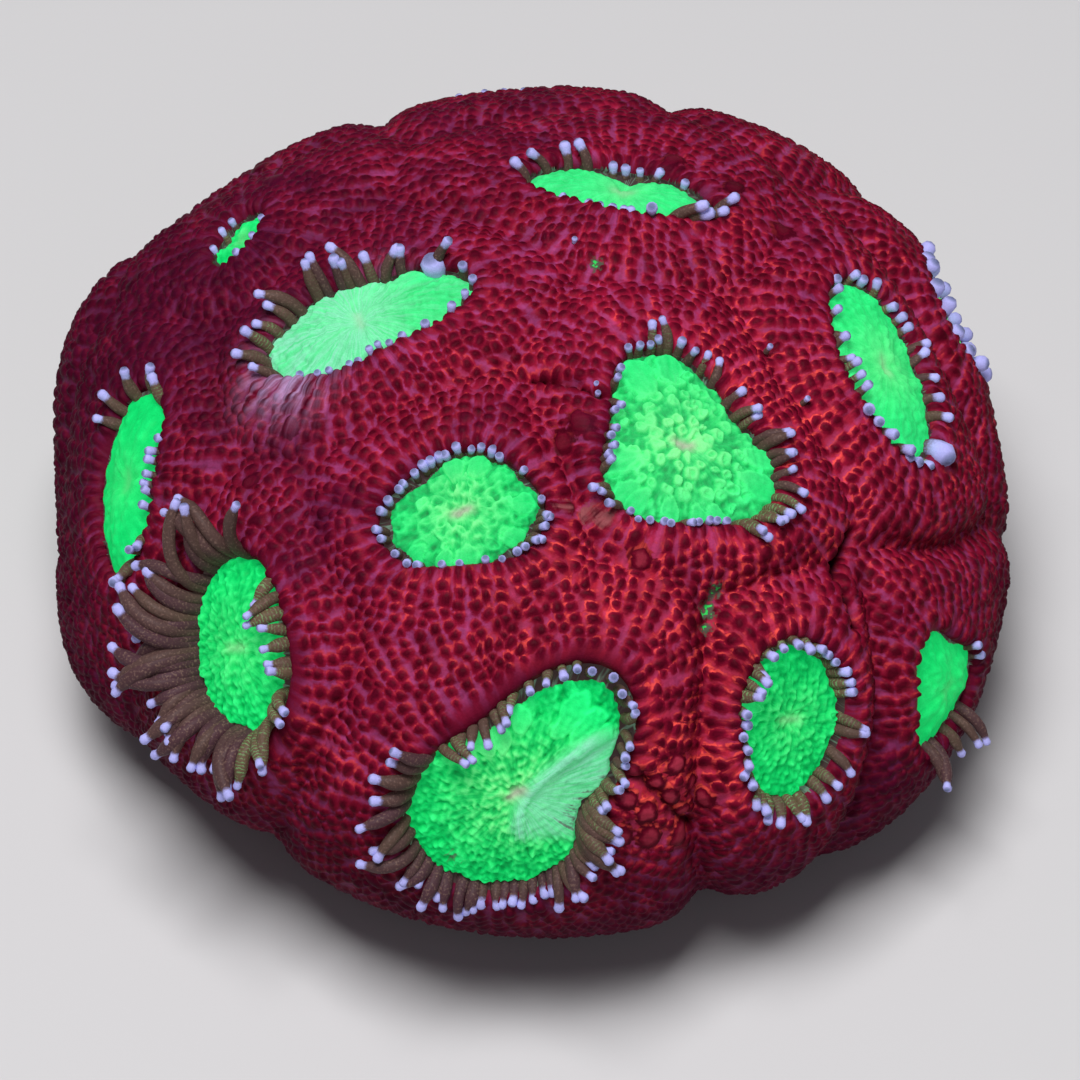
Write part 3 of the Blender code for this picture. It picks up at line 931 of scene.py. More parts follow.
leaf, leaf_edge = np.zeros((2, count))
for number, polyp in enumerate(polyps):
    mine = np.flatnonzero(skin_owner == number)
    for start, end, many, share, half_along, half_across in DISC_LEAVES.get(polyp.name, []):
        step = (end - start) / many
        for which in range(many):
            heading = start + (which + 0.5 + dice.uniform(-0.2, 0.2)) * step
            theta = np.array([math.radians(heading)])
            out = share * dice.uniform(0.92, 1.06)
            middle = dome_point(polyp.place(theta, polyp.outline(theta) * out))[0]
            along = unit(middle - polyp.centre)
            across = np.cross(polyp.normal, along)
            size = dice.uniform(0.85, 1.15)
            length = (warped[mine] - middle) @ along / (half_along * size)
            width = (warped[mine] - middle) @ across / (half_across * size)
            width /= 1.0 + 0.3 * np.clip(length, -1.0, 1.0)
            away = np.hypot(length, width)
            inside = (1.0 - smooth_step(0.78, 1.04, away)) * dice.uniform(0.75, 1.0)
            on_top = inside > leaf[mine]
            edge = np.exp(-((away - 0.86) / 0.13) ** 2)
            leaf_edge[mine] = np.where(on_top, edge, leaf_edge[mine])
            leaf[mine] = np.maximum(leaf[mine], inside)
# bumps fade out under a leaf and on the thin tissue beyond the fold
under_leaf = 1.0 - smooth_step(0.05, 0.35, leaf)
crater *= under_leaf
pad = np.maximum(pad * under_leaf, LEAF_RISE * leaf)
calm = 1.0 - 0.75 * np.maximum(pale_tissue, fold_ridge)
crater *= calm
mound *= calm * under_leaf
pad *= calm


def lumps(points, size, dice):
    """Smooth random lumps of about a given size, mostly within -1 to 1."""
    total = np.zeros(len(points))
    for _ in range(24):
        waves = unit(dice.normal(0.0, 1.0, 3)) * math.pi / size * dice.uniform(0.6, 1.5)
        total += np.cos(points @ waves + dice.uniform(0.0, 2.0 * math.pi))
    return total / 6.0


LUMP_SIZE = 0.00036
LUMP_RISE = 0.45             # height of a lump, in pad heights
# How lumpy each disc is between its bumps
LUMPY = {"left": 0.3, "low_right": 0.3, "right": 0.6, "rear": 0.6, "front": 1.2}
lumpy = per_polyp(LUMPY, 1.0)
lumpy *= smooth_step(0.0, 0.0006, on_disc) * (1.0 - 0.7 * leaf) * calm
lump = 0.75 * lumps(skin_dome, LUMP_SIZE, dice)
lump = lumpy * (lump + 0.5 * lumps(skin_dome, 0.6 * LUMP_SIZE, dice))
pad += 0.3 * mound + LUMP_RISE * lump

# Places for streaks that run out from each mouth: round the mouth on a ring, and away
# from it
STREAK_RING = 0.0050
spoke = np.stack([
    STREAK_RING * np.cos(skin_heading), STREAK_RING * np.sin(skin_heading), skin_radius,
], axis=-1)
# How plainly each disc is streaked
STREAKY = {
    "front": 0.55, "front_left": 0.5, "front_right": 0.25, "rear_left": 0.4, "left": 0.1,
    "low_right": 0.05, "middle": 0.10, "three_cornered": 0.08,
}
streaky = per_polyp(STREAKY, 0.25)
streaky *= smooth_step(0.0, 0.0005, on_disc) * (1.0 - 0.7 * leaf) * (0.4 + 0.6 * calm)
streaky *= 0.15 + 0.85 * smooth_step(0.0010, 0.0036, skin_radius)
on_flesh = smooth_step(-0.0002, 0.0003, skin_edge)
bump *= on_flesh
bump *= 0.25 + 0.75 * smooth_step(0.0, 0.0008, skin_points[:, 2])

# Small places where the blisters give way to thin bare tissue, and one hollow where they give way
# to painted shade: azimuth, latitude, spread in degrees
PINK_TISSUE = [(14.0, 52.0, 1.8), (17.0, 50.5, 1.5), (9.0, 53.5, 1.2)]
SHADED_HOLLOWS = [(58.0, 25.0, 2.4)]
GREEN_TISSUE = [(31.0, 34.5, 1.4), (33.5, 36.5, 1.1), (29.5, 32.5, 1.0), (130.0, 76.0, 1.1)]
FROSTED = [(-77.0, 51.0, 6.0), (-85.0, 54.0, 5.0), (-98.0, 68.0, 5.0)]


def patches(places):
    amount = np.zeros(count)
    for azimuth, latitude, spread in places:
        amount = np.maximum(amount, patch(skin_rays, azimuth, latitude, spread))
    return amount


pink_tissue = patches(PINK_TISSUE)
green_tissue = patches(GREEN_TISSUE)
frosted = patches(FROSTED)
shaded_hollow = patches(SHADED_HOLLOWS)
bare = np.maximum(np.maximum(pink_tissue, green_tissue), shaded_hollow)
bump *= 1.0 - 0.6 * bare
streaky = np.maximum(streaky, 0.8 * pink_tissue)


def give(mesh, name, values):
    """Stores a value or a vector a point on a mesh, for its material or its tree to read."""
    kind, title = ("FLOAT", "value") if values.ndim == 1 else ("FLOAT_VECTOR", "vector")
    attribute = mesh.attributes.new(name, kind, "POINT")
    attribute.data.foreach_set(title, values.astype(np.float32).ravel())


def triangle_mesh(name, points, faces):
    mesh = bpy.data.meshes.new(name)
    mesh.vertices.add(len(points))
    mesh.vertices.foreach_set("co", points.astype(np.float32).ravel())
    mesh.loops.add(len(faces) * 3)
    mesh.loops.foreach_set("vertex_index", faces.astype(np.int32).ravel())
    mesh.polygons.add(len(faces))
    mesh.polygons.foreach_set("loop_start", np.arange(len(faces), dtype=np.int32) * 3)
    mesh.update(calc_edges=True)
    mesh.shade_smooth()
    return mesh


def put_in_scene(name, mesh):
    made = bpy.data.objects.new(name, mesh)
    bpy.context.scene.collection.objects.link(made)
    return made


def node(tree, kind, inputs=(), **settings):
    """A node with its settings; each input takes a value or another node's output."""
    made = tree.nodes.new(kind)
    for name, value in settings.items():
        setattr(made, name, value)
    for name, value in dict(inputs).items():
        if isinstance(value, bpy.types.NodeSocket):
            tree.links.new(value, made.inputs[name])
        else:
            made.inputs[name].default_value = value
    return made


def new_tree(name, kind, inputs, outputs):
    """An empty node group with named sockets, given as name: socket type."""
    tree = bpy.data.node_groups.new(name, kind)
    for title, socket_type in inputs.items():
        tree.interface.new_socket(title, in_out="INPUT", socket_type=socket_type)
    for title, socket_type in outputs.items():
        tree.interface.new_socket(title, in_out="OUTPUT", socket_type=socket_type)
    return tree, node(tree, "NodeGroupInput").outputs


def maths(tree, operation, first, second=0.0, third=0.0):
    inputs = {0: first, 1: second, 2: third}
    return node(tree, "ShaderNodeMath", inputs, operation=operation).outputs[0]


def product(tree, first, *others):
    for other in others:
        first = maths(tree, "MULTIPLY", first, other)
    return first


def noise(tree, place, scale, detail=2.0):
    """Soft noise, 0 to 1."""
    return node(tree, "ShaderNodeTexNoise", {
        "Vector": place, "Scale": scale, "Detail": detail,
    }).outputs["Fac"]


def scaled(tree, vector, scale):
    return node(tree, "ShaderNodeVectorMath", {0: vector, "Scale": scale},
                operation="SCALE").outputs[0]


def field(tree, name, kind="FLOAT"):
    """A value or a vector stored on the geometry's points."""
    return node(tree, "GeometryNodeInputNamedAttribute", {"Name": name},
                data_type=kind).outputs["Attribute"]


def end_tree(tree, geometry, material):
    """Ends a geometry tree: what it made becomes one plain mesh in its material."""
    whole = node(tree, "GeometryNodeRealizeInstances", {"Geometry": geometry}).outputs[0]
    coated = node(tree, "GeometryNodeSetMaterial", {"Geometry": whole, "Material": material})
    node(tree, "NodeGroupOutput", {"Geometry": coated.outputs[0]})


def grown(target, tree, values):
    """Runs a tree on an object with the values given by name, and keeps the plain mesh."""
    modifier = target.modifiers.new(tree.name, "NODES")
    modifier.node_group = tree
    for item in tree.interface.items_tree:
        if item.in_out == "INPUT" and item.name in values:
            modifier[item.identifier] = values[item.name]
    depsgraph = bpy.context.evaluated_depsgraph_get()
    mesh = bpy.data.meshes.new_from_object(target.evaluated_get(depsgraph), depsgraph=depsgraph)
    target.modifiers.remove(modifier)
    target.data = mesh
    return mesh


relief, given = new_tree("flesh_relief", "GeometryNodeTree", {
    "Geometry": "NodeSocketGeometry",
    **dict.fromkeys(RELIEF, "NodeSocketFloat"),
    "Streak Size": "NodeSocketVector",
    "Material": "NodeSocketMaterial",
}, {"Geometry": "NodeSocketGeometry"})
grain_at = node(relief, "GeometryNodeInputPosition").outputs[0]
per_metre = maths(relief, "DIVIDE", 1.0, given["Grain Size"])
grain = noise(relief, grain_at, per_metre, detail=1.0)
grain = maths(relief, "SUBTRACT", grain, 0.5)
drawn_out = node(relief, "ShaderNodeVectorMath", {
    0: field(relief, "spoke", "FLOAT_VECTOR"), 1: given["Streak Size"],
}, operation="DIVIDE").outputs[0]
streak = maths(relief, "SUBTRACT", noise(relief, drawn_out, 1.0), 0.5)
streak = product(relief, streak, field(relief, "streaky"))
raised = 0.0
parts = {
    "Blister": field(relief, "bump"), "Pad": field(relief, "pad"),
    "Crater": field(relief, "crater"), "Grain": grain, "Streak": streak,
}
for title, part in parts.items():
    raised = maths(relief, "MULTIPLY_ADD", part, given[title + " Height"], raised)
normal = node(relief, "GeometryNodeInputNormal").outputs[0]
moved = node(relief, "GeometryNodeSetPosition", {
    "Geometry": given["Geometry"], "Offset": scaled(relief, normal, raised),
}).outputs[0]
end_tree(relief, moved, given["Material"])

skin_mesh = triangle_mesh("skin", skin_points, skin_faces)
for name, values in (("bump", bump), ("pad", pad), ("crater", crater), ("streaky", streaky),
                     ("spoke", spoke)):
    give(skin_mesh, name, values)
skin = put_in_scene("skin", skin_mesh)
skin_mesh = grown(skin, relief, RELIEF)
final_points = np.empty(count * 3, dtype=np.float32)
skin_mesh.vertices.foreach_get("co", final_points)
final_points = final_points.reshape(-1, 3)
final_points[:, 2] = np.maximum(final_points[:, 2], 0.0)
final_points[edge_point, 2] = 0.0
skin_mesh.vertices.foreach_set("co", final_points.ravel())
skin_mesh.update()
final_normals = np.empty(count * 3, dtype=np.float32)
skin_mesh.vertex_normals.foreach_get("vector", final_normals)
final_normals = final_normals.reshape(-1, 3)
bpy.data.objects.remove(skin, do_unlink=True)


def skin_piece(name, chosen, values, material):
    """One piece of the skin, from the chosen triangles, shaded as part of the whole."""
    used, faces = np.unique(skin_faces[chosen], return_inverse=True)
    mesh = triangle_mesh(name, final_points[used], faces.reshape(-1, 3))
    mesh.normals_split_custom_set_from_vertices(final_normals[used])
    for title, value in values.items():
        give(mesh, title, value[used])
    mesh.materials.append(material)
    piece = put_in_scene(name, mesh)
    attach(piece, "root")
    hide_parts("coral_head")


# ---------------------------------------------------------------- the red flesh
# Fleshy skin from cup to cup: dark maroon blisters, each with a thin bright orange edge, and
# lavender furrows between the rows.  It is wet and soft, and grew onto the skeleton; its colour
# glows faintly as emission, which is painted light.
# How hot the flesh's colour is: azimuth, latitude, spread in degrees, amount.  The broad cool
# patches on the left and at the back also darken it there as painted shade.
WARM_PATCHES = [
    (12.0, 38.0, 14.0, 0.7),
    (20.0, 16.0, 9.0, 1.1),
    (72.0, 50.0, 16.0, 0.6),
    (36.0, 30.0, 9.0, 0.6),
    (-30.0, 15.0, 9.0, 0.1),
    (-20.0, 66.0, 12.0, 0.3),
    (-45.0, 42.0, 12.0, -0.7),
    (-15.0, 64.0, 7.0, -0.6),
    (-110.0, 45.0, 30.0, -0.6),
    (-100.0, 10.0, 35.0, -1.0),
    (180.0, 30.0, 40.0, -0.6),
    (20.0, 62.0, 7.0, -0.5),
]
# How much paler or darker it is: azimuth, latitude, spread in degrees, amount.  The two dark
# patches low on its sides are painted shade.
PALE_AND_SHADE_PATCHES = [
    (64.0, 54.0, 20.0, 1.2),
    (110.0, 80.0, 14.0, 1.0),
    (-95.0, 10.0, 30.0, -1.3),
    (-16.0, 64.0, 8.0, -0.5),
    (-24.0, 5.0, 10.0, -1.6),
]
RIM_SHADE = 1.3              # how far the flesh is painted cooler and darker down its sides, as painted shade
warmth_and_shade = -RIM_SHADE * (1.0 - smooth_step(0.006, 0.024, skin_points[:, 2]))
for changed, places in ((warmth_and_shade, WARM_PATCHES), (tone, PALE_AND_SHADE_PATCHES)):
    for azimuth, latitude, spread, amount in places:
        changed += amount * patch(skin_rays, azimuth, latitude, spread)
RED_BAND = 0.0007            # width of the plainer red along a lip's edge
lip_edge = 1.0 - smooth_step(0.0, 1.0, skin_edge / (RED_BAND + 1.3 * skin_smooth))
# it is fainter where the lip is blistered up to its edge
lip_edge *= 0.60 + 0.40 * np.minimum(skin_smooth / 0.0008, 1.0)


def attribute(tree, name, output="Fac"):
    return node(tree, "ShaderNodeAttribute", attribute_name=name).outputs[output]


def opaque(colour):
    """A colour with its alpha; another node's output is passed on as it is."""
    return (*colour, 1.0) if isinstance(colour, tuple) else colour


def mixed(tree, share, first, second):
    inputs = {0: share, 6: opaque(first), 7: opaque(second)}
    return node(tree, "ShaderNodeMix", inputs, data_type="RGBA").outputs[2]


def ramp(tree, value, stops):
    """A colour ramp from (place, colour) stops."""
    made = node(tree, "ShaderNodeValToRGB", {"Fac": value})
    elements = made.color_ramp.elements
    while len(elements) < len(stops):
        elements.new(0.5)
    for element, (place, colour) in zip(elements, stops):
        element.position = place
        element.color = opaque(colour)
    return made.outputs["Color"]


def fade(tree, value, low, high):
    """A mask rising smoothly from 0 to 1 between two values."""
    return node(tree, "ShaderNodeMapRange", {"Value": value, "From Min": low, "From Max": high},
                interpolation_type="SMOOTHSTEP").outputs["Result"]


def here(tree):
    return node(tree, "ShaderNodeTexCoord").outputs["Object"]


def speckle(tree, size):
    """Soft noise of about a given size, 0 to 1."""
    return noise(tree, here(tree), 1.0 / size)


# Wet living skin, used by every soft material here: a fine pebbled grain, and faint
# cloudy variation of its colour.
GRAIN_STRENGTH = 0.35        # how far the grain lightens and darkens the colour
SMOOTHEST = 0.38             # roughness between the grains
GRAIN_ROUGHNESS = 0.25       # added to it on a grain
wet_skin, given = new_tree("wet_skin", "ShaderNodeTree", {
    "Color": "NodeSocketColor",
    "Cloud Size": "NodeSocketFloat",
    "Cloud Strength": "NodeSocketFloat",
    "Grain Size": "NodeSocketFloat",
}, {"Color": "NodeSocketColor", "Height": "NodeSocketFloat", "Roughness": "NodeSocketFloat"})
per_metre = maths(wet_skin, "DIVIDE", 1.0, given["Cloud Size"])
cloud = noise(wet_skin, here(wet_skin), per_metre, detail=3.0)
grain = noise(wet_skin, here(wet_skin), maths(wet_skin, "DIVIDE", 1.0, given["Grain Size"]))
gain = 1.0
for part, strength in ((cloud, given["Cloud Strength"]), (grain, GRAIN_STRENGTH)):
    gain = maths(wet_skin, "MULTIPLY_ADD", maths(wet_skin, "SUBTRACT", part, 0.5), strength, gain)
rough = maths(wet_skin, "MULTIPLY_ADD", grain, GRAIN_ROUGHNESS, SMOOTHEST)
node(wet_skin, "NodeGroupOutput", {
    "Color": scaled(wet_skin, given["Color"], gain), "Height": grain, "Roughness": rough,
})


def streaks(tree, width, length):
    """Fine noise drawn out along the lines that run out from each mouth, 0 to 1."""
    drawn_out = node(tree, "ShaderNodeVectorMath", {
        0: attribute(tree, "spoke", "Vector"), 1: (1.0 / width, 1.0 / width, 1.0 / length),
    }, operation="MULTIPLY").outputs[0]
    return noise(tree, drawn_out, 1.0)


def soft_material(name, build, grain_size, shine, painted_glow, cloud_size, cloud_strength):
    """A wet material whose colour is built by a function of its tree, and which glows with that
    colour as emission: painted light, as the piece is no lamp.
    """
    material = bpy.data.materials.new(name)
    material.use_nodes = True
    tree = material.node_tree
    skin_group = node(tree, "ShaderNodeGroup", node_tree=wet_skin)
    for title, value in (("Cloud Size", cloud_size), ("Cloud Strength", cloud_strength),
                         ("Grain Size", grain_size)):
        skin_group.inputs[title].default_value = value
    tree.links.new(build(tree), skin_group.inputs["Color"])
    bumps = node(tree, "ShaderNodeBump", {
        "Height": skin_group.outputs["Height"], "Strength": 0.6, "Distance": grain_size / 4.0,
    })
    shader = tree.nodes["Principled BSDF"]
    shader.inputs["Specular IOR Level"].default_value = shine
    # emission makes the piece glow with its own colour: painted light
    shader.inputs["Emission Strength"].default_value = painted_glow
    for output, title in (("Color", "Base Color"), ("Color", "Emission Color"),
                          ("Roughness", "Roughness")):
        tree.links.new(skin_group.outputs[output], shader.inputs[title])
    tree.links.new(bumps.outputs["Normal"], shader.inputs["Normal"])
    return material


DARK_CAP = (0.080, 0.0016, 0.0100)
RED_FLANK = (0.205, 0.0045, 0.0230)
SWOLLEN_CAP = (0.400, 0.0320, 0.0640)
# orange of the threads, brightest where their painted highlight falls
ORANGE_THREAD_HIGHLIGHT = (0.800, 0.0800, 0.0600)
LAVENDER_FURROW = (0.270, 0.0360, 0.1300)
ROSE_FURROW = (0.250, 0.0100, 0.0420)
HOT_FURROW = (0.420, 0.0180, 0.0300)
# dark purple for cool flesh and for the painted shade down its sides
PURPLE_SHADE = (0.045, 0.0022, 0.0180)
LIP_RED = (0.105, 0.0030, 0.0180)
PINK_SKIN = (0.270, 0.0700, 0.0800)
GREEN_SKIN = (0.080, 0.0850, 0.0600)
GREEN_GLEAM = (0.030, 0.6000, 0.1000)
FROST = (0.520, 0.3600, 0.6500)
CLEFT_SHADE = (0.030, 0.0020, 0.0060)


def flesh_colour(tree):
    wobble = maths(tree, "SUBTRACT", speckle(tree, 0.00035), 0.5)
    streak = streaks(tree, 0.00042, 0.0018)
    fine_streak = streaks(tree, 0.00024, 0.0030)
    side = attribute(tree, "side")
    # 0 at a blister's middle, 1 in the furrow round it
    oval = maths(tree, "MULTIPLY_ADD", wobble, 0.40, attribute(tree, "blister"))
    oval = maths(tree, "MULTIPLY_ADD", side, 0.06, oval)
    drift = maths(tree, "MULTIPLY_ADD", speckle(tree, 0.0035), 1.8, -0.9)
    warm = maths(tree, "ADD", attribute(tree, "warmth_and_shade"), drift)
    hot = fade(tree, warm, -0.3, 1.0)
    cool_and_shade = fade(tree, warm, 0.0, -1.3)
    # pinkish lavender lies between the rows, more than across them
    between_rows = maths(tree, "MULTIPLY_ADD", side, 0.5, streak)
    furrow = mixed(tree, fade(tree, between_rows, 0.50, 0.95), ROSE_FURROW, LAVENDER_FURROW)
    furrow = mixed(tree, product(tree, hot, 0.75), furrow, HOT_FURROW)
    body = ramp(tree, oval, [(0.0, DARK_CAP), (0.38, DARK_CAP), (0.78, RED_FLANK)])
    body = mixed(tree, fade(tree, oval, 0.80, 1.06), body, furrow)
    # the few swollen blisters are paler over the top, most of all where the flesh is hot
    swollen = attribute(tree, "swollen")
    foot = product(tree, swollen, fade(tree, oval, 0.50, 0.68), fade(tree, oval, 1.00, 0.88))
    body = mixed(tree, foot, body, DARK_CAP)
    top = product(tree, swollen, fade(tree, oval, 0.58, 0.30),
                  maths(tree, "MULTIPLY_ADD", hot, 0.65, 0.15))
    body = mixed(tree, top, body, SWOLLEN_CAP)
    # thin bright threads, mostly along the upper edge of each blister, where a painted highlight
    # falls from the painted light above
    highlit_threads = product(tree, fade(tree, oval, 0.70, 0.82), fade(tree, oval, 1.02, 0.90),
                      fade(tree, attribute(tree, "painted_lit_side"), -0.5, 0.7),
                      fade(tree, fine_streak, 0.38, 0.60),
                      maths(tree, "MULTIPLY_ADD", hot, 0.70, 0.15))
    body = mixed(tree, highlit_threads, body, ORANGE_THREAD_HIGHLIGHT)
    # cool flesh, and the painted shade down the sides, turn dark purple
    body = mixed(tree, product(tree, cool_and_shade, 0.75), body, PURPLE_SHADE)
    tone = product(tree, maths(tree, "MULTIPLY_ADD", attribute(tree, "tone"), 0.18, 1.0),
                   maths(tree, "MULTIPLY_ADD", fine_streak, 1.1, 0.46))
    body = scaled(tree, body, tone)
    body = mixed(tree, product(tree, attribute(tree, "lip_edge"), 0.92), body, LIP_RED)
    # thin bare tissue in a few small places, and frosted skin on one lip
    fleck = maths(tree, "MULTIPLY_ADD", speckle(tree, 0.00030), 0.8, -0.4)
    pink = maths(tree, "ADD", attribute(tree, "pink_tissue"), fleck)
    pink = product(tree, fade(tree, pink, 0.35, 0.75), fade(tree, fine_streak, 0.3, 0.6))
    body = mixed(tree, pink, body, PINK_SKIN)
    green = attribute(tree, "green_tissue")
    ragged = product(tree, fleck, 2.4, fade(tree, green, 0.02, 0.25))
    green = maths(tree, "ADD", green, ragged)
    body = mixed(tree, fade(tree, green, 0.25, 0.70), body, GREEN_SKIN)
    body = mixed(tree, fade(tree, green, 0.85, 1.00), body, GREEN_GLEAM)
    frost = product(tree, attribute(tree, "frosted"), fade(tree, fine_streak, 0.3, 0.8))
    body = mixed(tree, frost, body, FROST)
    # the clefts, and the hollow at the end of one, are painted dark as shade
    return mixed(tree, fade(tree, attribute(tree, "cleft"), 0.25, 1.10), body, CLEFT_SHADE)


flesh_material = soft_material("red_flesh", flesh_colour, grain_size=0.00016, shine=0.03,
                               painted_glow=0.03, cloud_size=0.006, cloud_strength=0.5)
face_edge = skin_edge[skin_faces].mean(axis=1)
face_owner = skin_owner[skin_faces[:, 0]]
flesh_values = {
    "blister": np.minimum(blister, 2.0), "tone": tone, "warmth_and_shade": warmth_and_shade, "painted_lit_side": painted_lit_side,
    "lip_edge": lip_edge, "spoke": spoke, "side": side, "swollen": swollen,
    # the clefts and the shaded hollow carry painted shade
    "cleft": np.maximum(cleft / 0.0010, 0.75 * shaded_hollow),
    "pink_tissue": pink_tissue, "green_tissue": green_tissue, "frosted": frosted,
}
for number, polyp in enumerate(polyps):
    chosen = (face_owner == number) & (face_edge > 0.0)
    skin_piece("flesh_" + polyp.name, chosen, flesh_values, flesh_material)


# ---------------------------------------------------------------- the green discs
# Each polyp's disc is a bright green cushion with a slit mouth in its middle, thinning into brown
# tissue in the groove under the lip.  Its strong glow, made by emission, is painted light.
DEEP_GREEN = (0.0006, 0.110, 0.022)
BRIGHT_GREEN = (0.0015, 0.340, 0.070)
CREST_HIGHLIGHT_GREEN = (0.008, 0.540, 0.130)
PALE_GREEN = (0.145, 0.510, 0.170)
WHITISH_GREEN = (0.130, 0.420, 0.260)
TISSUE_BROWN = (0.032, 0.020, 0.020)
TISSUE_THREAD = (0.090, 0.170, 0.120)
MOUTH_PINK = (0.260, 0.210, 0.200)
# How much brighter than usual each disc is all over
LIVELY = {
    "front": 0.20, "front_left": 0.24, "front_right": 0.16, "left": 0.32, "right": 0.36,
    "low_right": 0.32, "rear": 0.32, "rear_left": 0.26, "rear_left_small": 0.3,
    "three_cornered": 0.08, "middle": 0.05,
}
# How plainly the pale middle and the mouth show
OPEN_MOUTHS = {
    "left": 0.15, "low_right": 0.1, "right": 0.45, "front_left": 0.35, "front_right": 0.35,
    "rear": 0.4, "rear_left": 0.4, "rear_left_small": 0.2,
}
# How milky the whole disc is, from 0
MILKY = {"rear_left": 1.4, "three_cornered": 0.15, "middle": 0.1, "right": 0.15, "rear": 0.3}

HEART_SPREAD = 0.62          # of the pale middle, as a share of the disc's half size
FRINGE = (0.00005, 0.00055)  # where brown tissue turns into green, in from the groove
THINNING = (0.0010, 0.0034)  # where the tissue thins out, beyond the fold
shown = per_polyp(OPEN_MOUTHS, 1.0)
heart = shown * np.exp(-(skin_radius / (HEART_SPREAD * half_size)) ** 2)
fringe = 1.0 - smooth_step(*FRINGE, on_disc)
far_beyond = smooth_step(*THINNING, beyond_fold) * fold_reach
fringe = np.maximum(fringe, 0.42 * far_beyond)
# a painted shadow falls in brown specks low on the left of the front disc
SHADOW_SPECKS_LEFT = 0.0042        # of the mouth
SHADOW_SPECKS_BELOW = 0.0052
SHADOW_SPECKS_SPREAD = 0.0014
shadow_specks = (skin_x + SHADOW_SPECKS_LEFT) ** 2 + (skin_y + SHADOW_SPECKS_BELOW) ** 2
shadow_specks = on_front * np.exp(-shadow_specks / SHADOW_SPECKS_SPREAD ** 2)
fringe = np.maximum(fringe, 0.45 * shadow_specks)
# whatever stands up out of a disc is painted brighter than the rest of it, a painted highlight on
# its relief
lift_and_highlight = 0.25 * np.clip(pad, 0.0, 1.0) + 0.34 * crater + 0.20 * mound + 0.12 * lump
lift_and_highlight += 0.25 * leaf_edge * smooth_step(0.1, 0.5, leaf)
lift_and_highlight += per_polyp(LIVELY, 0.0)
milk = per_polyp(MILKY, 0.0)
on_rear_left = skin_owner == polyp_number["rear_left"]
milk -= 0.9 * on_rear_left * smooth_step(0.0, 0.0045, skin_y)
milk = np.maximum(milk * 0.6, np.maximum(0.75 * pale_tissue, fold_ridge))
MOUTH_LENGTH = 0.0009
MOUTH_WIDTH = 0.00016
# Which way each mouth's slit runs, in degrees from the polyp's own right
MOUTH_TURN = {"middle": 35.0, "front": 35.0, "three_cornered": -55.0}
slit = np.zeros(count)
for number, polyp in enumerate(polyps):
    mine = skin_owner == number
    turn = math.radians(MOUTH_TURN.get(polyp.name, math.degrees(polyp.turn)))
    away = skin_heading[mine] - turn
    along = skin_radius[mine] * np.cos(away) / MOUTH_LENGTH
    across = skin_radius[mine] * np.sin(away) / MOUTH_WIDTH
    slit[mine] = shown[mine] * np.exp(-along ** 4) * np.exp(-(across / 2.2) ** 2)


def disc_colour(tree):
    streak = streaks(tree, 0.00036, 0.0016)
    fine_streak = streaks(tree, 0.00022, 0.0022)
    swing = maths(tree, "MULTIPLY_ADD", attribute(tree, "streaky"), 0.9, 0.2)
    swing = product(tree, maths(tree, "SUBTRACT", streak, 0.5), swing)
    lift_and_highlight = maths(tree, "ADD", attribute(tree, "lift_and_highlight"), swing)
    lift_and_highlight = maths(tree, "ADD", lift_and_highlight, 0.16)
    # the more lift, the brighter the green, up to a painted highlight on the crests of the bumps
    body = ramp(tree, lift_and_highlight, [(0.0, DEEP_GREEN), (0.35, BRIGHT_GREEN), (0.85, CREST_HIGHLIGHT_GREEN)])
    pale = maths(tree, "MULTIPLY_ADD", fade(tree, lift_and_highlight, 0.20, 0.8), 0.90, 0.05)
    body = mixed(tree, product(tree, attribute(tree, "heart"), pale), body, PALE_GREEN)
    milk = maths(tree, "MULTIPLY_ADD", fade(tree, fine_streak, 0.30, 0.70), 0.7, 0.5)
    body = mixed(tree, product(tree, attribute(tree, "milk"), milk), body, WHITISH_GREEN)
    body = mixed(tree, product(tree, attribute(tree, "slit"), 0.75), body, MOUTH_PINK)
    tissue = mixed(tree, product(tree, fade(tree, fine_streak, 0.50, 0.70), 0.7),
                   TISSUE_BROWN, TISSUE_THREAD)
    # the border between green and brown wanders
    border = attribute(tree, "fringe")
    for ragged, depth in ((fine_streak, 0.9), (speckle(tree, 0.0003), 0.3)):
        border = maths(tree, "ADD", border,
                       maths(tree, "MULTIPLY_ADD", ragged, depth, -depth / 2.0))
    return mixed(tree, fade(tree, border, 0.38, 0.58), body, tissue)


disc_material = soft_material("green_disc", disc_colour, grain_size=0.00012, shine=0.04,
                              painted_glow=0.95, cloud_size=0.003, cloud_strength=0.35)
disc_values = {
    "lift_and_highlight": lift_and_highlight, "heart": heart, "fringe": fringe, "slit": slit, "milk": milk, "spoke": spoke,
    "streaky": streaky,
}
for number, polyp in enumerate(polyps):
    chosen = (face_owner == number) & (face_edge <= 0.0)
    skin_piece("disc_" + polyp.name, chosen, disc_values, disc_material)


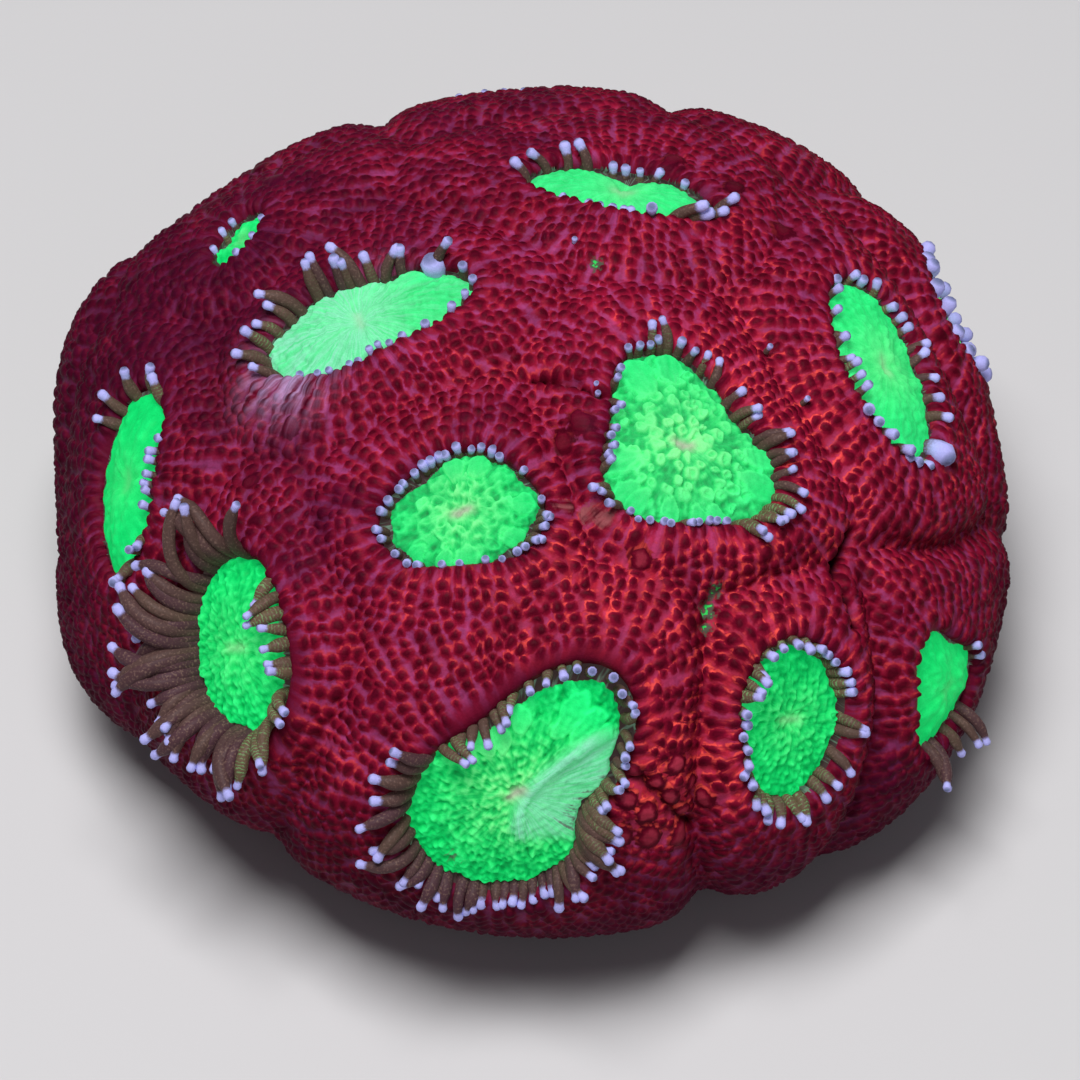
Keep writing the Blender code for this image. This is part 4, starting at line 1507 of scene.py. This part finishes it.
# ---------------------------------------------------------------- the tentacles
# Short fleshy tentacles stand in the groove round each disc, brown with fine cross
# ridges, each ending in a round lavender-white tip.
# heading where a group starts and ends, how many, length shown, lean outwards in degrees
# (inwards if negative), radius of the stem, radius of the tip, greenness
TENTACLES = {
    "middle": [
        (15.0, 75.0, 3, 0.0003, 10.0, 0.00034, 0.00036, 0.6),
        (75.0, 150.0, 8, 0.0004, 15.0, 0.00036, 0.00038, 0.6),
        (150.0, 250.0, 10, 0.0004, 15.0, 0.00036, 0.00038, 0.5),
        (255.0, 335.0, 4, 0.0003, -20.0, 0.00032, 0.00034, 0.7),
        (-25.0, 15.0, 7, 0.0008, 35.0, 0.00038, 0.00038, 0.6),
    ],
    "three_cornered": [
        (40.0, 78.0, 6, 0.0008, 15.0, 0.00040, 0.00036, 0.5),
        (50.0, 68.0, 2, 0.0015, 55.0, 0.00046, 0.00036, 0.7),
        (-25.0, 40.0, 5, 0.0010, 48.0, 0.00040, 0.00036, 0.5),
        (-62.0, -25.0, 6, 0.0015, 55.0, 0.00044, 0.00036, 0.45),
        (-172.0, -98.0, 10, 0.0006, 5.0, 0.00034, 0.00034, 0.7),
        (-98.0, -64.0, 6, 0.0015, 58.0, 0.00038, 0.00037, 0.95),
        (168.0, 188.0, 3, 0.0018, 50.0, 0.00038, 0.00036, 0.6),
        (84.0, 166.0, 9, 0.0010, -25.0, 0.00038, 0.00035, 0.5),
    ],
    "front": [
        (15.0, 62.0, 8, 0.0010, 5.0, 0.00042, 0.00037, 0.6),
        (62.0, 95.0, 5, 0.0012, -30.0, 0.00042, 0.00036, 0.9),
        (95.0, 150.0, 7, 0.0017, -52.0, 0.00044, 0.00035, 0.7),
        (152.0, 218.0, 8, 0.0027, 62.0, 0.00058, 0.00041, 0.25),
        (218.0, 252.0, 6, 0.0016, 66.0, 0.00050, 0.00038, 0.0),
        (222.0, 256.0, 4, 0.0008, 45.0, 0.00044, 0.00036, 0.0),
        (252.0, 292.0, 8, 0.0004, 45.0, 0.00044, 0.00040, 0.1),
        (292.0, 328.0, 7, 0.0017, 50.0, 0.00048, 0.00039, 0.3),
        (-38.0, -8.0, 6, 0.0026, 58.0, 0.00060, 0.00041, 0.55),
        (-8.0, 16.0, 4, 0.0011, 15.0, 0.00048, 0.00039, 1.0),
    ],
    "front_right": [
        (55.0, 135.0, 8, 0.0012, -28.0, 0.00050, 0.00040, 0.95),
        (-10.0, 55.0, 6, 0.0006, 12.0, 0.00048, 0.00040, 0.95),
        (-65.0, -20.0, 3, 0.0010, 42.0, 0.00048, 0.00038, 0.5),
        (-170.0, -75.0, 10, 0.0010, 34.0, 0.00052, 0.00040, 0.9),
        (135.0, 190.0, 5, 0.0008, 5.0, 0.00050, 0.00040, 0.8),
    ],
    "front_left": [
        (115.0, 190.0, 10, 0.0038, 62.0, 0.00060, 0.00040, 0.2),
        (190.0, 225.0, 6, 0.0042, 68.0, 0.00062, 0.00042, 0.1),
        (225.0, 310.0, 13, 0.0040, 64.0, 0.00060, 0.00042, 0.1),
        (235.0, 300.0, 6, 0.0026, 40.0, 0.00052, 0.00040, 0.2),
        (-50.0, 0.0, 5, 0.0030, 52.0, 0.00050, 0.00040, 1.0),
        (5.0, 95.0, 7, 0.0023, -48.0, 0.00056, 0.00036, 0.8),
    ],
    "left": [
        (125.0, 185.0, 5, 0.0014, 35.0, 0.00048, 0.00042, 0.6),
        (-30.0, 8.0, 4, 0.0018, 50.0, 0.00050, 0.00042, 0.5),
        (15.0, 108.0, 7, 0.0008, -20.0, 0.00040, 0.00036, 0.4),
    ],
    "rear_left": [
        (120.0, 245.0, 10, 0.0022, 30.0, 0.00050, 0.00044, 0.4),
        (245.0, 300.0, 5, 0.0016, 38.0, 0.00046, 0.00040, 0.6),
        (120.0, 134.0, 1, 0.0010, 8.0, 0.00085, 0.00110, 0.2),
        (-58.0, 60.0, 9, 0.0004, -10.0, 0.00034, 0.00033, 0.6),
        (64.0, 118.0, 5, 0.0009, 5.0, 0.00040, 0.00038, 0.5),
    ],
    "rear": [
        (-25.0, 25.0, 4, 0.0012, 38.0, 0.00044, 0.00044, 0.4),
        (155.0, 205.0, 5, 0.0016, 45.0, 0.00048, 0.00048, 0.4),
        (35.0, 145.0, 6, 0.0002, -25.0, 0.00036, 0.00036, 0.5),
        (215.0, 325.0, 5, 0.0003, 0.0, 0.00040, 0.00038, 0.5),
    ],
    "right": [
        (40.0, 150.0, 8, 0.0010, -30.0, 0.00040, 0.00036, 0.6),
        (155.0, 196.0, 4, 0.0016, 35.0, 0.00052, 0.00048, 0.5),
        (226.0, 236.0, 1, 0.0012, 30.0, 0.00080, 0.00100, 0.3),
        (198.0, 218.0, 3, 0.0005, 20.0, 0.00044, 0.00044, 0.9),
        (244.0, 325.0, 5, 0.0009, 40.0, 0.00044, 0.00042, 0.4),
        (-28.0, 38.0, 7, 0.0007, 5.0, 0.00042, 0.00042, 0.8),
    ],
    "low_right": [
        (-150.0, -60.0, 5, 0.0024, 50.0, 0.00044, 0.00036, 0.3),
        (-30.0, 10.0, 2, 0.0008, 20.0, 0.00036, 0.00036, 0.5),
    ],
    "rear_left_small": [(0.0, 360.0, 6, 0.0004, 5.0, 0.00036, 0.00034, 0.5)],
    "rim_right": [(0.0, 360.0, 17, 0.0010, 18.0, 0.00062, 0.00072, 0.3)],
}
USUAL_TENTACLES = [(0.0, 360.0, 17, 0.0006, 8.0, 0.00042, 0.00037, 0.4)]
TIP_SHARE = 0.86             # of the radius given for the tip
STEM_SHARE = 0.88            # of the radius given for the stem
LIP_COVER = 0.00035          # how much of a tentacle the blisters of the lip hide
ROOT_DEPTH = 0.0011
ROOT_INSET = 0.00045
LIP_LIFT = 0.0004            # how far those that lean out ride up over the lip
STEM_POINTS = 12
TIP_POINTS = 6
BENDING_STEPS = 60           # steps in which a tentacle's bend is summed up
# How tentacles of one group differ
LENGTHS = (0.62, 1.18)
STEM_SIZES = (0.82, 1.12)
TIP_SIZES = (0.88, 1.12)
LEAN_STRAY = 18.0            # degrees
SWAY = 0.5                   # how far a tip bends sideways, as a share of the length shown
SIDES = 9
NECK = 0.80                  # thickness of the neck behind a tip, as a share of the tip's

# Stray tips that have come up among the blisters: azimuth, latitude
STRAY_TIPS = [(50.0, 73.0), (33.0, 70.5), (31.0, 69.0), (75.0, 45.0), (84.0, 52.0), (151.0, 75.0)]
STRAY_RADIUS = 0.00021
STRAY_HEIGHTS = (-0.0002, 0.0007)    # of root and top, from the dome


def skin_at(polyp, theta, outside, height):
    """Points above the dome at headings, distances outside the outline and heights."""
    rays = polyp.place(theta, polyp.outline(theta) + outside)
    points = dome_point(rays)
    points = points + dome_normal(points) * height[..., None]
    return points + growth_centre


def tentacle_lines(polyp, dice):
    """Paths of all of a polyp's tentacles, with each one's own values at its points."""
    paths = []
    values = []
    groups = TENTACLES.get(polyp.name, USUAL_TENTACLES)
    for start, end, many, length, lean, stem_radius, tip_radius, green in groups:
        step = (end - start) / many
        for number in range(many):
            theta = math.radians(start + (number + 0.5 + dice.uniform(-0.25, 0.25)) * step)
            shown = LIP_COVER + length * dice.uniform(*LENGTHS)
            thick = stem_radius * STEM_SHARE * dice.uniform(*STEM_SIZES)
            thin = tip_radius * TIP_SHARE * dice.uniform(*TIP_SIZES)
            tilt = math.radians(lean + dice.uniform(-LEAN_STRAY, LEAN_STRAY))
            sway = dice.uniform(-SWAY, SWAY)
            arc = ROOT_DEPTH + shown
            inset = ROOT_INSET
            if lean > 0.0:
                inset += 0.6 * extra_width(polyp, np.array([theta]), WIDE_GROOVES)[0]
            stem = np.linspace(0.0, arc - 2.0 * thin, STEM_POINTS, endpoint=False)
            tip = arc - thin * (1.0 + np.cos(np.linspace(0.0, math.pi, TIP_POINTS)))
            at = np.concatenate([stem, tip])
            fine = np.linspace(0.0, arc, BENDING_STEPS)
            piece = arc / (BENDING_STEPS - 1)
            bend = tilt * smooth_step(0.3 * ROOT_DEPTH, 0.75 * arc, fine)
            outside = np.cumsum(np.sin(bend)) * piece
            height = np.cumsum(np.cos(bend)) * piece
            outside = np.interp(at, fine, outside) - inset
            height = np.interp(at, fine, height) - ROOT_DEPTH
            height += LIP_LIFT * max(math.sin(tilt), 0.0) * smooth_step(0.0, 0.7 * arc, at)
            heading = theta + sway * (at / arc) ** 2 * shown / polyp.outline(theta)
            paths.append(skin_at(polyp, heading, outside, height))
            values.append((thick, thin, np.clip(green + dice.uniform(-0.25, 0.25), 0.0, 1.0)))
    return np.array(paths), np.array(values)


def stray_lines():
    """Short paths straight up through the flesh at the stray tips."""
    paths = []
    height = np.linspace(*STRAY_HEIGHTS, STEM_POINTS + TIP_POINTS)
    for azimuth, latitude in STRAY_TIPS:
        foot = dome_point(direction(azimuth, latitude))
        paths.append(foot + dome_normal(foot) * height[:, None] + growth_centre)
    values = np.array([(STRAY_RADIUS, STRAY_RADIUS, 0.3)] * len(paths))
    return np.array(paths), values


sprout, given = new_tree("tentacle_growth", "GeometryNodeTree", {
    "Geometry": "NodeSocketGeometry",
    "Sides": "NodeSocketInt",
    "Neck Thickness": "NodeSocketFloat",
    "Material": "NodeSocketMaterial",
}, {"Geometry": "NodeSocketGeometry"})
lines = node(sprout, "GeometryNodeMeshToCurve", {"Mesh": given["Geometry"]}).outputs[0]
spline = node(sprout, "GeometryNodeSplineParameter").outputs
total = node(sprout, "GeometryNodeSplineLength").outputs["Length"]
thick = field(sprout, "thick")
thin = field(sprout, "thin")
from_tip = maths(sprout, "SUBTRACT", total, spline["Length"])
# the tip is a ball on a narrower neck, into which the stem tapers
from_ball = maths(sprout, "SUBTRACT", from_tip, thin)
ball = maths(sprout, "SUBTRACT", product(sprout, thin, thin),
             product(sprout, from_ball, from_ball))
ball = maths(sprout, "SQRT", maths(sprout, "MAXIMUM", ball, 1e-10))
in_tips = maths(sprout, "DIVIDE", from_tip, thin)
stem = node(sprout, "ShaderNodeMapRange", {
    "Value": in_tips, "From Min": 1.5, "From Max": 5.0,
    "To Min": product(sprout, thin, given["Neck Thickness"]), "To Max": thick,
}, interpolation_type="SMOOTHSTEP").outputs["Result"]
behind = maths(sprout, "GREATER_THAN", from_tip, product(sprout, thin, 1.1))
radius = maths(sprout, "MAXIMUM", ball, product(sprout, stem, behind))
for title, value in (("from_tip", in_tips), ("run", spline["Length"])):
    lines = node(sprout, "GeometryNodeStoreNamedAttribute", {
        "Geometry": lines, "Name": title, "Value": value,
    }, data_type="FLOAT", domain="POINT").outputs[0]
circle = node(sprout, "GeometryNodeCurvePrimitiveCircle", {
    "Resolution": given["Sides"], "Radius": 1.0,
}, mode="RADIUS").outputs[0]
tubes = node(sprout, "GeometryNodeCurveToMesh", {
    "Curve": lines, "Profile Curve": circle, "Scale": radius, "Fill Caps": True,
}).outputs[0]
smooth = node(sprout, "GeometryNodeSetShadeSmooth", {"Geometry": tubes}).outputs[0]
end_tree(sprout, smooth, given["Material"])

TIP_LAVENDER = (0.38, 0.38, 0.76)
TIP_HEART = (0.14, 0.16, 0.31)
STEM_BROWN = (0.062, 0.028, 0.036)
STEM_OLIVE = (0.105, 0.072, 0.042)
STRIPE_GREEN = (0.14, 0.27, 0.11)
PALE_BROWN = (0.150, 0.090, 0.075)
RIDGE_PITCH = 0.00021


def tentacle_colour(tree):
    wobble = speckle(tree, 0.00035)
    mottle = speckle(tree, 0.00016)
    green = attribute(tree, "green")
    base = mixed(tree, green, STEM_BROWN, STEM_OLIVE)
    base = mixed(tree, fade(tree, mottle, 0.50, 0.75), base, PALE_BROWN)
    run = maths(tree, "DIVIDE", attribute(tree, "run"), RIDGE_PITCH)
    run = maths(tree, "ADD", run, product(tree, wobble, 2.2))
    wave = maths(tree, "SINE", product(tree, run, 2.0 * math.pi))
    wave = maths(tree, "MULTIPLY_ADD", wave, 0.5, 0.5)
    stripes = product(tree, fade(tree, wave, 0.55, 0.95), fade(tree, green, 0.40, 1.1),
                      fade(tree, wobble, 0.38, 0.58))
    base = mixed(tree, stripes, base, STRIPE_GREEN)
    from_tip = attribute(tree, "from_tip")
    ball = ramp(tree, product(tree, from_tip, 0.5), [
        (0.05, TIP_HEART), (0.22, TIP_LAVENDER), (0.80, TIP_LAVENDER),
    ])
    edge = maths(tree, "MULTIPLY_ADD", mottle, 0.8, from_tip)
    return mixed(tree, fade(tree, edge, 2.9, 2.0), base, ball)


tentacle_material = soft_material("tentacle", tentacle_colour, grain_size=0.00012, shine=0.10,
                                  painted_glow=0.15, cloud_size=0.002, cloud_strength=0.5)
all_lines = {polyp.name: tentacle_lines(polyp, dice) for polyp in polyps}
all_lines["stray"] = stray_lines()
for name, (paths, values) in all_lines.items():
    many, points = paths.shape[:2]
    mesh = bpy.data.meshes.new("tentacles_" + name)
    index = np.arange(many * points).reshape(many, points)
    edges = np.stack([index[:, :-1].ravel(), index[:, 1:].ravel()], axis=1)
    mesh.from_pydata(paths.reshape(-1, 3).tolist(), edges.tolist(), [])
    for column, title in enumerate(("thick", "thin", "green")):
        give(mesh, title, np.repeat(values[:, column], points))
    tentacles = put_in_scene("tentacles_" + name, mesh)
    grown(tentacles, sprout, {
        "Sides": SIDES, "Neck Thickness": NECK, "Material": tentacle_material,
    })
    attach(tentacles, "root")
    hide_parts("coral_head")


# ---------------------------------------------------------------- the cut face
# The underside is bare skeleton, sawn flat: pale porous stone with the ghost of each
# polyp's corallite showing in it.
border = np.flatnonzero(edge_point)
angle = np.arctan2(final_points[border, 1], final_points[border, 0])
border = border[np.argsort(angle)]
rim = final_points[border]
RINGS = 6
shares_out = 1.0 - np.arange(RINGS) / RINGS
rings = [rim * np.array([share, share, 1.0]) for share in shares_out]
base_points = np.concatenate([*rings, np.zeros((1, 3))])
many = len(rim)
first = np.arange(many)
second = (first + 1) % many
base_faces = []
for outer in range(0, (RINGS - 1) * many, many):
    inner = outer + many
    base_faces.append(np.stack([first + outer, first + inner, second + outer], axis=1))
    base_faces.append(np.stack([second + outer, first + inner, second + inner], axis=1))
pole = np.full(many, RINGS * many)
base_faces.append(np.stack([first + pole - many, pole, second + pole - many], axis=1))
base_faces = np.concatenate(base_faces)

PORES_PER_METRE = 1400.0
CORALLITES_PER_METRE = 70.0
STONE = (0.50, 0.44, 0.34)
PALE_STONE = (0.68, 0.63, 0.53)
PORE_BROWN = (0.20, 0.16, 0.11)
WALL_CREAM = (0.80, 0.76, 0.68)
stone = bpy.data.materials.new("bare_skeleton")
stone.use_nodes = True
tree = stone.node_tree
cells = {"Vector": here(tree)}
pores = node(tree, "ShaderNodeTexVoronoi", {**cells, "Scale": PORES_PER_METRE})
pores = pores.outputs["Distance"]
walls = node(tree, "ShaderNodeTexVoronoi", {**cells, "Scale": CORALLITES_PER_METRE},
             feature="DISTANCE_TO_EDGE").outputs["Distance"]
colour = ramp(tree, speckle(tree, 0.004), [(0.3, STONE), (0.7, PALE_STONE)])
colour = mixed(tree, fade(tree, pores, 0.28, 0.05), colour, PORE_BROWN)
colour = mixed(tree, fade(tree, walls, 0.06, 0.02), colour, WALL_CREAM)
bumps = node(tree, "ShaderNodeBump", {"Height": pores, "Strength": 0.7, "Distance": 0.0002})
shader = tree.nodes["Principled BSDF"]
shader.inputs["Roughness"].default_value = 0.85
tree.links.new(colour, shader.inputs["Base Color"])
tree.links.new(bumps.outputs["Normal"], shader.inputs["Normal"])
base_mesh = triangle_mesh("cut_face", base_points, base_faces)
base_mesh.materials.append(stone)
cut_face = put_in_scene("cut_face", base_mesh)
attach(cut_face, "root")
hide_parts("coral_head")


# ---------------------------------------------------------------- the table and the light
# A plain pale table under a soft overhead light, seen from in front and well above.
FLOOR_HALF = 1.0
FLOOR_GREY = (0.62, 0.62, 0.63, 1.0)
SKY = (0.90, 0.93, 1.0, 1.0)
SKY_STRENGTH = 0.08
corners = [(-1.0, -1.0), (1.0, -1.0), (1.0, 1.0), (-1.0, 1.0)]
floor_mesh = bpy.data.meshes.new("table_top")
floor_mesh.from_pydata([(FLOOR_HALF * x, FLOOR_HALF * y, 0.0) for x, y in corners], [],
                       [(0, 1, 2, 3)])
floor_material = bpy.data.materials.new("table_top")
floor_material.use_nodes = True
floor_shader = floor_material.node_tree.nodes["Principled BSDF"]
floor_shader.inputs["Base Color"].default_value = FLOOR_GREY
floor_shader.inputs["Roughness"].default_value = 0.8
floor_mesh.materials.append(floor_material)
put_in_scene("table_top", floor_mesh)

world = bpy.data.worlds.new("studio")
world.use_nodes = True
world.node_tree.nodes["Background"].inputs["Color"].default_value = SKY
world.node_tree.nodes["Background"].inputs["Strength"].default_value = SKY_STRENGTH
bpy.context.scene.world = world


def turn_to(made, place, aim):
    """Puts a lamp or the camera at a place, looking at its aim."""
    made.location = place
    made.rotation_euler = (Vector(aim) - Vector(place)).to_track_quat("-Z", "Y").to_euler()


def lamp(name, place, size, power, colour):
    """A square soft light, in watts, turned to the head."""
    light = bpy.data.lights.new(name, "AREA")
    light.size = size
    light.energy = power
    light.color = colour
    turn_to(put_in_scene(name, light), place, (0.0, 0.0, 0.02))


lamp("overhead", (-0.05, -0.06, 0.55), size=0.24, power=3.3, colour=(1.0, 0.98, 0.98))
lamp("front_fill", (0.20, -0.5, 0.35), size=0.5, power=0.25, colour=(0.92, 0.95, 1.0))

VIEW_RISE = math.radians(52.0)
VIEW_DISTANCE = 0.360
VIEW_WIDTH = 0.07506         # how wide a stretch is seen at the growth centre
SENSOR = 36.0
NEAREST_SEEN = 0.01
AIM_RIGHT = 0.000695         # of the growth centre
AIM_BELOW = 0.00139
up = np.array([0.0, math.sin(VIEW_RISE), math.cos(VIEW_RISE)])
back = np.array([0.0, -math.cos(VIEW_RISE), math.sin(VIEW_RISE)])
aim = growth_centre + np.array([AIM_RIGHT, 0.0, 0.0]) - up * AIM_BELOW
camera_data = bpy.data.cameras.new("camera")
camera_data.sensor_width = SENSOR
camera_data.lens = SENSOR * VIEW_DISTANCE / VIEW_WIDTH
camera_data.clip_start = NEAREST_SEEN
camera = put_in_scene("camera", camera_data)
turn_to(camera, aim + back * VIEW_DISTANCE, aim)
bpy.context.scene.camera = camera
bpy.context.scene.view_settings.view_transform = "Standard"
